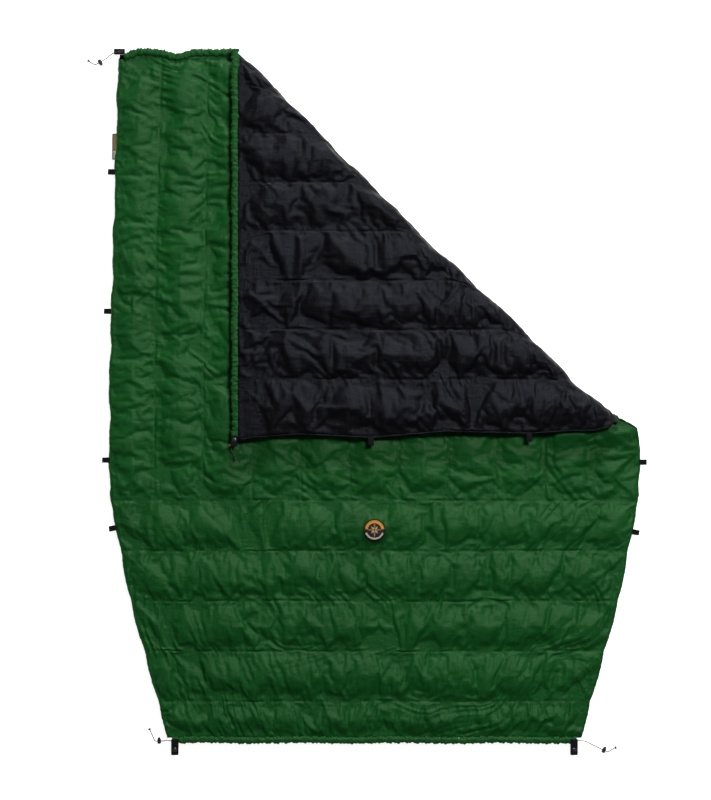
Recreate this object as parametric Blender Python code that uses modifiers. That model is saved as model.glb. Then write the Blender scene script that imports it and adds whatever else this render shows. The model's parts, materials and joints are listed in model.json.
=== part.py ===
"""Camp quilt: a tapered down quilt lying flat, its right head corner folded back over a 45 degree crease.

Blender 4.5, metres, +Z up, +Y towards the head. The origin is on the ground, under the middle
of the quilt. Everything beyond the crease is modelled lying flat, as it lies when the quilt is
open, and hangs on an empty on the crease that turns it over by 180 degrees.
"""

import math

import bmesh
import bpy
from mathutils import Matrix, Vector

# ---------------------------------------------------------------- driving dimensions
GAP = 0.0003  # between pieces that touch

LENGTH = 1.945  # head hem to foot hem
HEAD_WIDTH = 1.428
BODY_WIDTH = 1.480
KNEE_WIDTH = 1.364
FOOT_WIDTH = 1.144
SHOULDER_AT = 1.030  # heights of the side's bends above the foot hem
HIP_AT = 0.700
KNEE_AT = 0.400

LOFT = 0.044  # thickness of one layer of quilt
FABRIC = 0.0012  # shell and lining cloth
MESH = 0.0010  # baffle cloth
CHAMBERS = 11  # side by side, from the cross baffle to the head
SIDE_CHAMBER = 0.12485  # width of the outermost two, at the widest
FOOT_SECTION = 0.680  # from the foot hem up to the cross baffle
FOOT_CHAMBERS = 5
FOOT_PITCH = 0.1405  # the lowest foot chamber takes what is left
PILLOW = 0.006  # rounding of a down chamber's edges

CREASE_LEG = 1.112  # from the folded corner along the head hem to the crease
CREASE_CLEARANCE = 0.0012  # each side of the crease
HEM_IN_HEAD = 0.014  # the folded corner's side hem is drawn in by this at the head,
HEM_IN_MIDDLE = 0.066  # by this just past the crease,
HEM_IN_CREASE = 0.040  # and by this at the crease
HEM_RISE = 0.080  # along the hem between the last two

NECK_CHANNEL = 0.018  # drawcord channels: width, height and cord space
FOOT_CHANNEL = 0.016
CHANNEL_HEIGHT = 0.008
CORD_DIAMETER = 0.0025
CORD_CLEARANCE = 0.0008
NECK_MOUTH_BACK = 0.012  # the channel's mouth, in from the side hem
FOOT_MOUTH_BACK = 0.004

TAPE_WIDTH = 0.015  # pad strap loops, of folded tape
TAPE = 0.0012
LOOP_OUT = 0.022
LOOP_HEIGHT = 0.008
LOOPS_LEFT_AT = (0.604, 0.793, 1.209, 1.599)  # above the foot hem
LOOPS_RIGHT_AT = (0.593, 0.787, 1.118, 1.557)

FOOT_TAB_WIDTH = 0.021
FOOT_TAB_OUT = 0.031
FOOT_TAB_ON = 0.014  # how far it lies on the foot channel
NECK_TAB_WIDTH = 0.0165
NECK_TAB_OUT = 0.015
NECK_TAB_ON = 0.004
TAB = 0.0020  # webbing thickness
TAB_CORNER = 0.003
SNAP_DIAMETER = 0.0125
SNAP_POST = 0.0040
SNAP_HEIGHT = 0.0020

LABEL_LENGTH = 0.073
LABEL_OUT = 0.011
LABEL_AT = 1.670  # its middle, above the foot hem
LABEL = 0.0010
PATCH_DIAMETER = 0.060
PATCH_AT = 0.599
PATCH = 0.0010

LOCK_DIAMETER = 0.0105  # cord lock barrel
LOCK_WALL = 0.0011
LOCK_LENGTH = 0.0130
LOCK_PRESS = 0.0030  # travel of its button
BUTTON_OUT = 0.0045
BUTTON_CLEARANCE = 0.0003

# ---------------------------------------------------------------- derived places
HEAD_Y = (LENGTH + FOOT_TAB_OUT) / 2
FOOT_Y = HEAD_Y - LENGTH
MID = LOFT / 2  # height of the side seam
CREASE = HEAD_Y + HEAD_WIDTH / 2 - CREASE_LEG  # the crease is the line x + y = CREASE
CROSS_Y = FOOT_Y + FOOT_SECTION
FILL_HEAD_Y = HEAD_Y - NECK_CHANNEL  # outer faces of the padded body
FILL_FOOT_Y = FOOT_Y + FOOT_CHANNEL
CHANNEL_Z = MID + GAP + CHANNEL_HEIGHT / 2
NECK_CORD_Y = HEAD_Y - NECK_CHANNEL / 2
FOOT_CORD_Y = FOOT_Y + FOOT_CHANNEL / 2
INSIDE = FABRIC + GAP  # from an outer face of the cloth to what lies against its inner face
CHAMBER_PITCH = (BODY_WIDTH - 2 * SIDE_CHAMBER) / (CHAMBERS - 2)
SEAMS_X = [(k - (CHAMBERS - 2) / 2) * CHAMBER_PITCH for k in range(CHAMBERS - 1)]
SEAMS_Y = [CROSS_Y - k * FOOT_PITCH for k in range(FOOT_CHAMBERS)]
DIAGONAL = math.sqrt(2)

# Cord tails beyond the channel mouths, as offsets from the mouth: the points before a straight
# stretch, the stretch's two ends, the points after it, and how far along it the lock sits.
# All but the folded corner's tail drop to the ground, and cross their locks at LOCK_Z.
LOCK_Z = LOCK_DIAMETER / 2 + 2 * GAP
DROP = LOCK_Z - CHANNEL_Z
FLOOR = CORD_DIAMETER / 2 + 2 * GAP - CHANNEL_Z
SINK = (DROP + FLOOR) / 2
TAILS = {
    "neck_left": (
        [(-0.010, -0.0010, 0.0), (-0.021, -0.0025, 0.0), (-0.0310, -0.0060, -0.0020),
         (-0.0390, -0.0100, -0.0085), (-0.0450, -0.0134, -0.0165)],
        (-0.0535, -0.0183, DROP), (-0.0765, -0.0315, DROP),
        [(-0.0830, -0.0330, SINK), (-0.0910, -0.0290, FLOOR), (-0.1000, -0.0227, FLOOR)],
        0.0165,
    ),
    "neck_right": (
        [(0.0040, 0.0010, 0.0010), (0.0090, 0.0055, 0.0065)],
        (0.0165, 0.0095, 0.0115), (0.0345, 0.0095, 0.0115),
        [(0.0430, 0.0065, 0.0135), (0.0520, 0.0015, 0.0150), (0.0606, -0.0020, 0.0150)],
        0.0105,
    ),
    "foot_left": (
        [(-0.0050, 0.0, -0.0005), (-0.0110, -0.0010, -0.0065), (-0.0158, -0.0020, -0.0145)],
        (-0.0225, -0.0035, DROP), (-0.0430, -0.0045, DROP),
        [(-0.0500, -0.0010, SINK), (-0.0540, 0.0080, FLOOR), (-0.0585, 0.0180, FLOOR),
         (-0.0630, 0.0280, FLOOR)],
        0.0135,
    ),
    "foot_right": (
        [(0.0070, 0.0, -0.0005), (0.0160, -0.0010, -0.0055), (0.0250, -0.0040, -0.0125),
         (0.0340, -0.0090, -0.0185)],
        (0.0450, -0.0150, DROP), (0.0830, -0.0330, DROP),
        [(0.0890, -0.0345, SINK), (0.0980, -0.0290, FLOOR), (0.1087, -0.0236, FLOOR)],
        0.0345,
    ),
}
LEAD = 0.003  # a straight stretch runs on by this at both ends

for stale in list(bpy.data.objects):
    bpy.data.objects.remove(stale, do_unlink=True)
for stale in list(bpy.data.collections):
    bpy.data.collections.remove(stale)


def collection(name, inside=None):
    made = bpy.data.collections.new(name)
    (inside or bpy.context.scene.collection).children.link(made)
    return made


PARTS = collection("camp_quilt")
CUTTERS = collection("cutters")


# ---------------------------------------------------------------- materials
def material(name, colour, roughness, metallic=0.0):
    made = bpy.data.materials.new(name)
    made.use_nodes = True
    bsdf = made.node_tree.nodes["Principled BSDF"]
    bsdf.inputs["Base Color"].default_value = (*colour, 1.0)
    bsdf.inputs["Roughness"].default_value = roughness
    bsdf.inputs["Metallic"].default_value = metallic
    made.diffuse_color = (*colour, 1.0)
    return made


SHELL = material("shell_green", (0.012, 0.090, 0.022), 0.45)
LINING = material("lining_black", (0.010, 0.010, 0.012), 0.40)
DOWN = material("down_white", (0.80, 0.78, 0.72), 0.95)
BAFFLE = material("baffle_mesh", (0.55, 0.55, 0.52), 0.90)
CORD = material("cord_grey", (0.060, 0.060, 0.058), 0.70)
PLASTIC = material("plastic_black", (0.012, 0.012, 0.013), 0.35)
TAPE_BLACK = material("tape_black", (0.011, 0.010, 0.012), 0.80)
SNAP = material("snap_black", (0.020, 0.020, 0.022), 0.25, 0.6)
WOVEN = material("label_woven", (0.150, 0.105, 0.045), 0.80)
EMBLEM = material("patch_charcoal", (0.020, 0.019, 0.020), 0.75)


# ---------------------------------------------------------------- plan outlines
def along(stations, y):
    """The value at y on the broken line through stations, which are (y, value) in rising y."""
    for (y0, v0), (y1, v1) in zip(stations, stations[1:]):
        if y <= y1 or (y1, v1) == stations[-1]:
            return v0 + (v1 - v0) * (y - y0) / (y1 - y0)


SIDE = [
    (FOOT_Y, FOOT_WIDTH / 2),
    (FOOT_Y + KNEE_AT, KNEE_WIDTH / 2),
    (FOOT_Y + HIP_AT, BODY_WIDTH / 2),
    (FOOT_Y + SHOULDER_AT, BODY_WIDTH / 2),
    (HEAD_Y, HEAD_WIDTH / 2),
]


def half_width(y):
    return along(SIDE, y)


HEM_END_X = BODY_WIDTH / 2 - HEM_IN_CREASE
HEM_END_Y = CREASE - HEM_END_X
FLAP_SIDE = [
    (HEM_END_Y - 0.1, HEM_END_X),
    (HEM_END_Y, HEM_END_X),
    (HEM_END_Y + HEM_RISE, BODY_WIDTH / 2 - HEM_IN_MIDDLE),
    (HEAD_Y, HEAD_WIDTH / 2 - HEM_IN_HEAD),
]


def flap_half_width(y):
    return along(FLAP_SIDE, y)


def plan(right_side, right_width):
    """The padded body's outline seen from above, anticlockwise from the right foot corner."""
    low, high = FILL_FOOT_Y, FILL_HEAD_Y
    right = [y for y, _ in right_side if low < y < high]
    left = [y for y, _ in SIDE if low < y < high]
    return (
        [(right_width(y), y) for y in [low, *right, high]]
        + [(-half_width(y), y) for y in [high, *reversed(left), low]]
    )


def inset(points, by):
    """A closed outline moved inwards by a distance, with its corners kept sharp."""
    moved = []
    for before, here, after in zip(points[-1:] + points[:-1], points, points[1:] + points[:1]):
        first = (Vector(here) - Vector(before)).normalized()
        second = (Vector(after) - Vector(here)).normalized()
        a, b = Vector((-first.y, first.x)), Vector((-second.y, second.x))
        moved.append(tuple(Vector(here) + (a + b) * (by / (1 + a.dot(b)))))
    return moved


def clip(points, nx, ny, most):
    """What of a closed outline has nx*x + ny*y <= most."""
    kept = []
    for (x0, y0), (x1, y1) in zip(points, points[1:] + points[:1]):
        d0, d1 = nx * x0 + ny * y0 - most, nx * x1 + ny * y1 - most
        if d0 <= 0:
            kept.append((x0, y0))
        if (d0 < 0 < d1) or (d1 < 0 < d0):
            share = d0 / (d0 - d1)
            kept.append((x0 + share * (x1 - x0), y0 + share * (y1 - y0)))
    return kept


def main_side(points, extra=0.0):
    return clip(points, 1, 1, CREASE - (CREASE_CLEARANCE + extra) * DIAGONAL)


def corner_side(points, extra=0.0):
    return clip(points, -1, -1, -CREASE - (CREASE_CLEARANCE + extra) * DIAGONAL)


MAIN_PLAN = plan(SIDE, half_width)
CORNER_PLAN = plan(FLAP_SIDE, flap_half_width)


# ---------------------------------------------------------------- the crease
CREASE_POINT = Vector(((CREASE - HEAD_Y + HEM_END_X) / 2, (HEAD_Y + HEM_END_Y) / 2, LOFT))
CREASE_AXIS = Vector((-1, 1, 0)).normalized()


def pivot(name, point, turned=None):
    made = bpy.data.objects.new(name, None)
    made.empty_display_size = 0.03
    made.matrix_world = Matrix.Translation(point) @ (turned or Matrix.Identity(4))
    PARTS.objects.link(made)
    return made


CORNER = pivot("corner_flap_crease", CREASE_POINT, Matrix.Rotation(math.pi, 4, CREASE_AXIS))
FOLDED = Matrix.Translation(CREASE_POINT)


def folded(obj):
    """Hangs an object that was modelled lying flat on the crease, which turns it over."""
    obj.parent = CORNER
    obj.matrix_parent_inverse = FOLDED.inverted()
    return obj


# ---------------------------------------------------------------- modelling helpers
def finish(obj, look, into=None):
    obj.data.materials.clear()
    obj.data.materials.append(look)
    (into or PARTS).objects.link(obj)
    return obj


def cutter(obj):
    obj.hide_render = True
    obj.display_type = "WIRE"
    CUTTERS.objects.link(obj)
    return obj


def mesh_object(name, bm):
    data = bpy.data.meshes.new(name)
    bmesh.ops.recalc_face_normals(bm, faces=bm.faces)
    bm.to_mesh(data)
    bm.free()
    return bpy.data.objects.new(name, data)


def prism(name, points, low, high):
    """An upright solid over a plan outline."""
    bm = bmesh.new()
    base = bm.faces.new([bm.verts.new((x, y, low)) for x, y in points])
    top = bmesh.ops.extrude_face_region(bm, geom=[base])["geom"]
    rise = [v for v in top if isinstance(v, bmesh.types.BMVert)]
    bmesh.ops.translate(bm, verts=rise, vec=(0, 0, high - low))
    return mesh_object(name, bm)


def box(name, low, high):
    low, high = Vector(low), Vector(high)
    bm = bmesh.new()
    place = Matrix.Translation((low + high) / 2) @ Matrix.Diagonal((*(high - low), 1))
    bmesh.ops.create_cube(bm, size=1, matrix=place)
    return mesh_object(name, bm)


def cylinder(name, radius, low, high, sides=24):
    """Along +Z, from low to high."""
    bm = bmesh.new()
    bmesh.ops.create_cone(
        bm, cap_ends=True, segments=sides, radius1=radius, radius2=radius, depth=high - low,
        matrix=Matrix.Translation((0, 0, (low + high) / 2)),
    )
    return mesh_object(name, bm)


def boolean(obj, other, operation):
    made = obj.modifiers.new(operation.lower(), "BOOLEAN")
    made.operation = operation
    made.solver = "EXACT"
    if isinstance(other, bpy.types.Collection):
        made.operand_type = "COLLECTION"
        made.collection = other
    else:
        made.object = other
    return made


def slab(name, outlines, thickness, rounding, look):
    """A flat piece from closed outlines; the first is its edge and the others are its holes."""
    data = bpy.data.curves.new(name, "CURVE")
    data.dimensions = "2D"
    data.fill_mode = "BOTH"
    data.extrude = thickness / 2 - rounding
    data.bevel_depth = rounding
    data.bevel_resolution = 1
    data.offset = -rounding
    for points in outlines:
        spline = data.splines.new("POLY")
        spline.points.add(len(points) - 1)
        spline.use_cyclic_u = True
        for point, (x, y) in zip(spline.points, points):
            point.co = (x, y, 0, 1)
    return finish(bpy.data.objects.new(name, data), look)


def arc(cx, cy, radius, start, end, steps):
    """Points on an arc, its angles in degrees."""
    turns = [math.radians(start + (end - start) * i / steps) for i in range(steps + 1)]
    return [(cx + radius * math.cos(t), cy + radius * math.sin(t)) for t in turns]


def circle(radius, sides=20):
    return arc(0, 0, radius, 0, 360 - 360 / sides, sides - 1)


def rounded(x0, x1, y0, y1, radius, steps=3):
    return (
        arc(x1 - radius, y0 + radius, radius, -90, 0, steps)
        + arc(x1 - radius, y1 - radius, radius, 0, 90, steps)
        + arc(x0 + radius, y1 - radius, radius, 90, 180, steps)
        + arc(x0 + radius, y0 + radius, radius, 180, 270, steps)
    )


def turned(name, profile, look, steps=24):
    """A solid of revolution about Z; the profile is (radius, height) down its outer side."""
    data = bpy.data.meshes.new(name)
    data.from_pydata([(r, 0, z) for r, z in profile], [(i, i + 1) for i in range(len(profile) - 1)], [])
    obj = finish(bpy.data.objects.new(name, data), look)
    screw = obj.modifiers.new("turn", "SCREW")
    screw.steps = screw.render_steps = steps
    screw.use_merge_vertices = True
    screw.merge_threshold = 0.0001
    return obj


def smooth(points, spacing):
    """Points about that far apart on the smooth curve through the given ones."""
    ends = [2 * points[0] - points[1], *points, 2 * points[-1] - points[-2]]
    fine = [points[0]]
    for a, b, c, d in zip(ends, ends[1:], ends[2:], ends[3:]):
        pieces = max(1, round((c - b).length / spacing))
        for i in range(1, pieces + 1):
            t = i / pieces
            fine.append(
                0.5 * (2 * b + (c - a) * t + (2 * a - 5 * b + 4 * c - d) * t * t
                       + (3 * b - a - 3 * c + d) * t * t * t)
            )
    return fine


def cord(name, points, look=CORD):
    data = bpy.data.curves.new(name, "CURVE")
    data.dimensions = "3D"
    data.bevel_depth = CORD_DIAMETER / 2
    data.bevel_resolution = 2
    data.use_fill_caps = True
    spline = data.splines.new("POLY")
    spline.points.add(len(points) - 1)
    for point, place in zip(spline.points, points):
        point.co = (*place, 1)
    return finish(bpy.data.objects.new(name, data), look)


# ---------------------------------------------------------------- shell and lining
def sheet(name, points, face_z, rim_z, look):
    """Cloth over a plan outline, with a skirt to the side seam along every edge but the crease."""
    bm = bmesh.new()
    face = bm.faces.new([bm.verts.new((x, y, face_z)) for x, y in points])
    hems = []
    for edge in face.edges:
        middle = (edge.verts[0].co + edge.verts[1].co) / 2
        if abs(middle.x + middle.y - CREASE) > 2 * CREASE_CLEARANCE:
            hems.append(edge)
    skirt = bmesh.ops.extrude_edge_only(bm, edges=hems)["geom"]
    low = [v for v in skirt if isinstance(v, bmesh.types.BMVert)]
    bmesh.ops.translate(bm, verts=low, vec=(0, 0, rim_z - face_z))
    bm.normal_update()
    outwards = 1 if face_z > rim_z else -1
    bmesh.ops.recalc_face_normals(bm, faces=bm.faces)
    bm.faces.ensure_lookup_table()
    top = max(bm.faces, key=lambda f: f.calc_area())
    if top.normal.z * outwards < 0:
        bmesh.ops.reverse_faces(bm, faces=bm.faces)
    data = bpy.data.meshes.new(name)
    bm.to_mesh(data)
    bm.free()
    obj = finish(bpy.data.objects.new(name, data), look)
    solidify = obj.modifiers.new("cloth", "SOLIDIFY")
    solidify.solidify_mode = "NON_MANIFOLD"
    solidify.nonmanifold_thickness_mode = "CONSTRAINTS"
    solidify.thickness = FABRIC
    solidify.offset = -1
    return obj


def channel(shell, name, x0, x1, y0, y1):
    """Joins a drawcord channel to the shell's skirt, and opens it from end to end."""
    middle = (y0 + y1) / 2
    lap = FABRIC / 2
    inner, outer = (y0 - lap, y1) if middle > 0 else (y0, y1 + lap)
    low, high = MID + GAP, MID + GAP + CHANNEL_HEIGHT
    block = cutter(box(name, (x0, inner, low), (x1, outer, high)))
    half = CORD_DIAMETER / 2 + CORD_CLEARANCE
    duct = cutter(box(
        name + "_duct", (x0 - 0.01, middle - half, CHANNEL_Z - half),
        (x1 + 0.01, middle + half, CHANNEL_Z + half),
    ))
    boolean(shell, block, "UNION")
    boolean(shell, duct, "DIFFERENCE")
    return [block, duct]


NECK_MOUTH_X = HEAD_WIDTH / 2 - NECK_MOUTH_BACK
FOOT_MOUTH_X = FOOT_WIDTH / 2 - FOOT_MOUTH_BACK
CORNER_MOUTH_X = flap_half_width(NECK_CORD_Y) - NECK_MOUTH_BACK
NECK_CUT_MAIN = CREASE - HEAD_Y - CREASE_CLEARANCE * DIAGONAL  # channel ends at the crease
NECK_CUT_CORNER = CREASE - FILL_HEAD_Y + FABRIC + CREASE_CLEARANCE * DIAGONAL

shell_main = sheet("shell_main", main_side(MAIN_PLAN), LOFT - GAP / 2, MID + GAP / 2, SHELL)
channel(shell_main, "neck_channel_main", -NECK_MOUTH_X, NECK_CUT_MAIN, FILL_HEAD_Y, HEAD_Y)
channel(shell_main, "foot_channel", -FOOT_MOUTH_X, FOOT_MOUTH_X, FOOT_Y, FILL_FOOT_Y)
sheet("lining_main", main_side(MAIN_PLAN), 0, MID - GAP / 2, LINING)

shell_flap = folded(
    sheet("shell_flap", corner_side(CORNER_PLAN), LOFT - GAP / 2, MID + GAP / 2, SHELL)
)
for helper in channel(
    shell_flap, "neck_channel_flap", NECK_CUT_CORNER, CORNER_MOUTH_X, FILL_HEAD_Y, HEAD_Y
):
    folded(helper)
folded(sheet("lining_flap", corner_side(CORNER_PLAN), 0, MID - GAP / 2, LINING))

# ---------------------------------------------------------------- down chambers and baffles
BAFFLE_LOW, BAFFLE_HIGH = INSIDE, LOFT - GAP / 2 - INSIDE
FILL_LOW, FILL_HIGH = INSIDE, BAFFLE_HIGH
SEAM_TAPE = INSIDE + MESH  # inner face of the tape inside the hems
MAIN_FILL = inset(MAIN_PLAN, SEAM_TAPE + GAP)
CORNER_FILL = inset(CORNER_PLAN, SEAM_TAPE + GAP)
HALF_SEAM = MESH / 2 + GAP  # from a seam's middle to the down beside it


def bend(before, here, after):
    a, b = Vector(here) - Vector(before), Vector(after) - Vector(here)
    return a.angle(b) if a.length and b.length else 0.0


def without_short_edges(points, least):
    """A convex outline less the flatter end of each edge that is too short to be rounded."""
    points = list(points)
    while True:
        count = len(points)
        short = next((i for i in range(count)
                      if (Vector(points[i]) - Vector(points[i - 1])).length < least), None)
        if short is None:
            return points
        ends = [(short - 1) % count, short]
        points.pop(min(ends, key=lambda i: bend(points[i - 1], points[i], points[(i + 1) % count])))


def chamber(name, points):
    """Down in one chamber, of the outline given."""
    thickness = FILL_HIGH - FILL_LOW
    made = slab(name, [without_short_edges(points, 3 * PILLOW)], thickness, PILLOW, DOWN)
    made.location.z = (FILL_LOW + FILL_HIGH) / 2
    return made


walls = [-BODY_WIDTH, *SEAMS_X, BODY_WIDTH]
first_flap = next(k for k, x in enumerate(SEAMS_X) if x > CREASE - FILL_HEAD_Y + CHAMBER_PITCH)
for number, (left, right) in enumerate(zip(walls, walls[1:]), 1):
    strip = clip(clip(MAIN_FILL, -1, 0, -left - HALF_SEAM), 1, 0, right - HALF_SEAM)
    strip = clip(strip, 0, -1, -CROSS_Y - HALF_SEAM)
    chamber(f"down_body_{number:02d}", main_side(strip, GAP))
    if number > first_flap:
        low = -BODY_WIDTH if number == first_flap + 1 else left
        strip = clip(clip(CORNER_FILL, -1, 0, -low - HALF_SEAM), 1, 0, right - HALF_SEAM)
        folded(chamber(f"down_flap_{number:02d}", corner_side(strip, GAP)))

levels = [*SEAMS_Y, FOOT_Y - 1]
for number, (top, bottom) in enumerate(zip(levels, levels[1:]), 1):
    strip = clip(clip(MAIN_FILL, 0, 1, top - HALF_SEAM), 0, -1, -bottom - HALF_SEAM)
    chamber(f"down_foot_{number:02d}", strip)


def baffles(name, base, strips, hang=lambda obj: obj):
    """Mesh strips joined where they meet."""
    joined = collection(name + "_strips", CUTTERS)
    obj = finish(hang(prism(name, base, BAFFLE_LOW, BAFFLE_HIGH)), BAFFLE)
    for number, points in enumerate(strips):
        strip = hang(prism(f"{name}_{number:02d}", points, BAFFLE_LOW, BAFFLE_HIGH))
        strip.hide_render = True
        strip.display_type = "WIRE"
        joined.objects.link(strip)
    boolean(obj, joined, "UNION")


def bar(x0, x1, y0, y1):
    return [(x0, y0), (x1, y0), (x1, y1), (x0, y1)]


def side_tape(sign):
    """Tape inside the side seam, beside the foot chambers."""
    ys = [SEAMS_Y[-1] - MESH / 2, *[y for y, _ in SIDE if SEAMS_Y[-1] < y < CROSS_Y], CROSS_Y]
    outer = [(sign * (half_width(y) - 1.05 * INSIDE), y) for y in ys]
    inner = [(sign * (half_width(y) - 1.05 * INSIDE - 0.9 * MESH), y) for y in reversed(ys)]
    return outer + inner


half = MESH / 2
cross_x = half_width(CROSS_Y) - 1.1 * INSIDE
body_strips = [
    bar(x - half, x + half, CROSS_Y,
        min(FILL_HEAD_Y - INSIDE - half, CREASE - x - half - (CREASE_CLEARANCE + GAP) * DIAGONAL))
    for x in SEAMS_X
]
foot_strips = [
    bar(-half_width(y) + 1.2 * INSIDE + half, half_width(y) - 1.2 * INSIDE - half, y - half, y + half)
    for y in SEAMS_Y[1:]
]
baffles(
    "baffles_main", bar(-cross_x, cross_x, CROSS_Y - half, CROSS_Y + half),
    [*body_strips, *foot_strips, side_tape(-1), side_tape(1)],
)
tape_high = FILL_HEAD_Y - INSIDE
tape_low = tape_high - MESH
flap_strips = [
    bar(x - half, x + half, CREASE - x + half + (CREASE_CLEARANCE + GAP) * DIAGONAL, tape_high - half)
    for x in SEAMS_X[first_flap:]
]
tape_end = CREASE - tape_low + (CREASE_CLEARANCE + GAP) * DIAGONAL
baffles(
    "baffles_flap",
    bar(tape_end, flap_half_width(FILL_HEAD_Y) - 1.1 * INSIDE, tape_low, tape_high),
    flap_strips, folded,
)


# ---------------------------------------------------------------- pad strap loops
def strap_loop(name, side, y, width, hang=lambda obj: obj):
    """Tape folded to an eye that stands out of the side seam, square to the hem."""
    outer, inner = LOOP_HEIGHT / 2, LOOP_HEIGHT / 2 - TAPE
    far = LOOP_OUT - outer
    ring = [
        arc(far, 0, outer, -90, 90, 8) + arc(outer, 0, outer, 90, 270, 8),
        arc(far, 0, inner, -90, 90, 8) + arc(outer, 0, inner, 90, 270, 8),
    ]
    made = slab(name, ring, TAPE_WIDTH, 0, TAPE_BLACK)
    lean = math.atan2(width(y + 0.01) - width(y - 0.01), 0.02)
    seat = width(y) + GAP + abs(math.sin(lean)) * TAPE_WIDTH * 0.02
    upright = Matrix.Rotation(math.pi / 2, 4, "X")
    outwards = Matrix.Rotation(-side * lean + (0 if side > 0 else math.pi), 4, "Z")
    made.matrix_world = Matrix.Translation((side * seat, y, MID)) @ outwards @ upright
    return hang(made)


for number, height in enumerate(LOOPS_LEFT_AT, 1):
    strap_loop(f"pad_loop_left_{number}", -1, FOOT_Y + height, half_width)
for number, height in enumerate(LOOPS_RIGHT_AT, 1):
    y = FOOT_Y + height
    if y < CREASE - half_width(y):
        strap_loop(f"pad_loop_right_{number}", 1, y, half_width)
    else:
        strap_loop(f"pad_loop_right_{number}", 1, y, flap_half_width, folded)


# ---------------------------------------------------------------- corner tabs and their snaps
def tab(name, x0, x1, y0, y1, snap, z, face=1, hang=lambda obj: obj):
    """Flat webbing with a hole for its snap; z is its middle height and face the cap's side."""
    hole = [(x + snap[0], y + snap[1]) for x, y in circle(SNAP_POST / 2 + GAP, 16)]
    made = slab(name, [rounded(x0, x1, y0, y1, TAB_CORNER), hole], TAB, 0, TAPE_BLACK)
    made.location.z = z
    hang(made)
    rim, post = SNAP_DIAMETER / 2, SNAP_POST / 2
    under, over = -TAB / 2 - GAP, TAB / 2 + GAP
    profile = [
        (0, over + SNAP_HEIGHT), (rim * 0.55, over + SNAP_HEIGHT * 0.92),
        (rim * 0.85, over + SNAP_HEIGHT * 0.65), (rim, over + SNAP_HEIGHT * 0.25), (rim, over),
        (post, over), (post, under), (rim * 0.9, under),
        (rim * 0.9, under - SNAP_HEIGHT * 0.6), (rim * 0.5, under - SNAP_HEIGHT * 0.6),
        (rim * 0.5, under - SNAP_HEIGHT * 0.25), (0, under - SNAP_HEIGHT * 0.25),
    ]
    made = turned(name.replace("tab", "snap"), profile, SNAP)
    made.location = (*snap, z)
    made.rotation_euler.x = 0 if face > 0 else math.pi
    return hang(made)


neck_tab_z = MID - GAP / 2 - TAB / 2 - SNAP_HEIGHT / 4
for side, width, hang in ((-1, half_width, lambda obj: obj), (1, flap_half_width, folded)):
    hem = width(NECK_CORD_Y)
    ends = sorted((side * (hem - NECK_MOUTH_BACK - NECK_TAB_ON), side * (hem + NECK_TAB_OUT)))
    ys = NECK_CORD_Y - NECK_TAB_WIDTH / 2, NECK_CORD_Y + NECK_TAB_WIDTH / 2
    snap_x = side * (hem - 0.003)
    tab("neck_tab_" + ("left" if side < 0 else "right"), *ends, *ys, (snap_x, NECK_CORD_Y),
        neck_tab_z, -1, hang)

foot_tab_z = MID + GAP + CHANNEL_HEIGHT + GAP + TAB / 2
for side in (-1, 1):
    middle = side * (FOOT_MOUTH_X - FOOT_TAB_WIDTH / 2)
    tab("foot_tab_" + ("left" if side < 0 else "right"),
        middle - FOOT_TAB_WIDTH / 2, middle + FOOT_TAB_WIDTH / 2,
        FOOT_Y - FOOT_TAB_OUT, FOOT_Y + FOOT_TAB_ON, (middle, FOOT_Y - FOOT_TAB_OUT / 2 - 0.001),
        foot_tab_z)

# ---------------------------------------------------------------- label and patch
label_y = FOOT_Y + LABEL_AT
label_low, label_high = label_y - LABEL_LENGTH / 2, label_y + LABEL_LENGTH / 2
label_outline = [
    (-half_width(label_low) - GAP, label_low), (-half_width(label_high) - GAP, label_high),
    (-half_width(label_high) - LABEL_OUT, label_high), (-half_width(label_low) - LABEL_OUT, label_low),
]
side_label = slab("side_label", [label_outline[::-1]], LABEL, 0, WOVEN)
side_label.location.z = MID
patch = slab("round_patch", [circle(PATCH_DIAMETER / 2, 48)], PATCH, PATCH / 4, EMBLEM)
patch.location = (0, FOOT_Y + PATCH_AT, LOFT + GAP / 2 + PATCH / 2)

# ---------------------------------------------------------------- drawcords and cord locks
neck_left_mouth = Vector((-NECK_MOUTH_X, NECK_CORD_Y, CHANNEL_Z))
neck_right_mouth = Vector((CORNER_MOUTH_X, NECK_CORD_Y, CHANNEL_Z))
foot_left_mouth = Vector((-FOOT_MOUTH_X, FOOT_CORD_Y, CHANNEL_Z))
foot_right_mouth = Vector((FOOT_MOUTH_X, FOOT_CORD_Y, CHANNEL_Z))
MOUTHS = {
    "neck_left": neck_left_mouth, "neck_right": neck_right_mouth,
    "foot_left": foot_left_mouth, "foot_right": foot_right_mouth,
}
TAIL_SPACING = 3 * CORD_DIAMETER


def run(start, end, spacing=0.024):
    """Points between two ends of a straight stretch, without its ends."""
    count = max(2, round((end - start).length / spacing))
    return [start.lerp(end, i / count) for i in range(1, count)]


def tail(key):
    """A tail's points, from its channel's mouth to its free end."""
    before, start, end, after, _ = TAILS[key]
    start, end = Vector(start), Vector(end)
    lead = (end - start).normalized() * LEAD
    route = [Vector(), *map(Vector, before), start - lead, start, end, end + lead,
             *map(Vector, after)]
    return [MOUTHS[key] + p for p in smooth(route, TAIL_SPACING)]


crease_main = Vector((NECK_CUT_MAIN, NECK_CORD_Y, CHANNEL_Z))
crease_corner = Vector((NECK_CUT_CORNER, NECK_CORD_Y, CHANNEL_Z))
cord("neck_cord_left",
     [*reversed(tail("neck_left")), *run(neck_left_mouth, crease_main), crease_main])
folded(cord("neck_cord_right",
            [crease_corner, *run(crease_corner, neck_right_mouth), *tail("neck_right")]))
cord("foot_cord",
     [*reversed(tail("foot_left")), *run(foot_left_mouth, foot_right_mouth), *tail("foot_right")])


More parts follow.
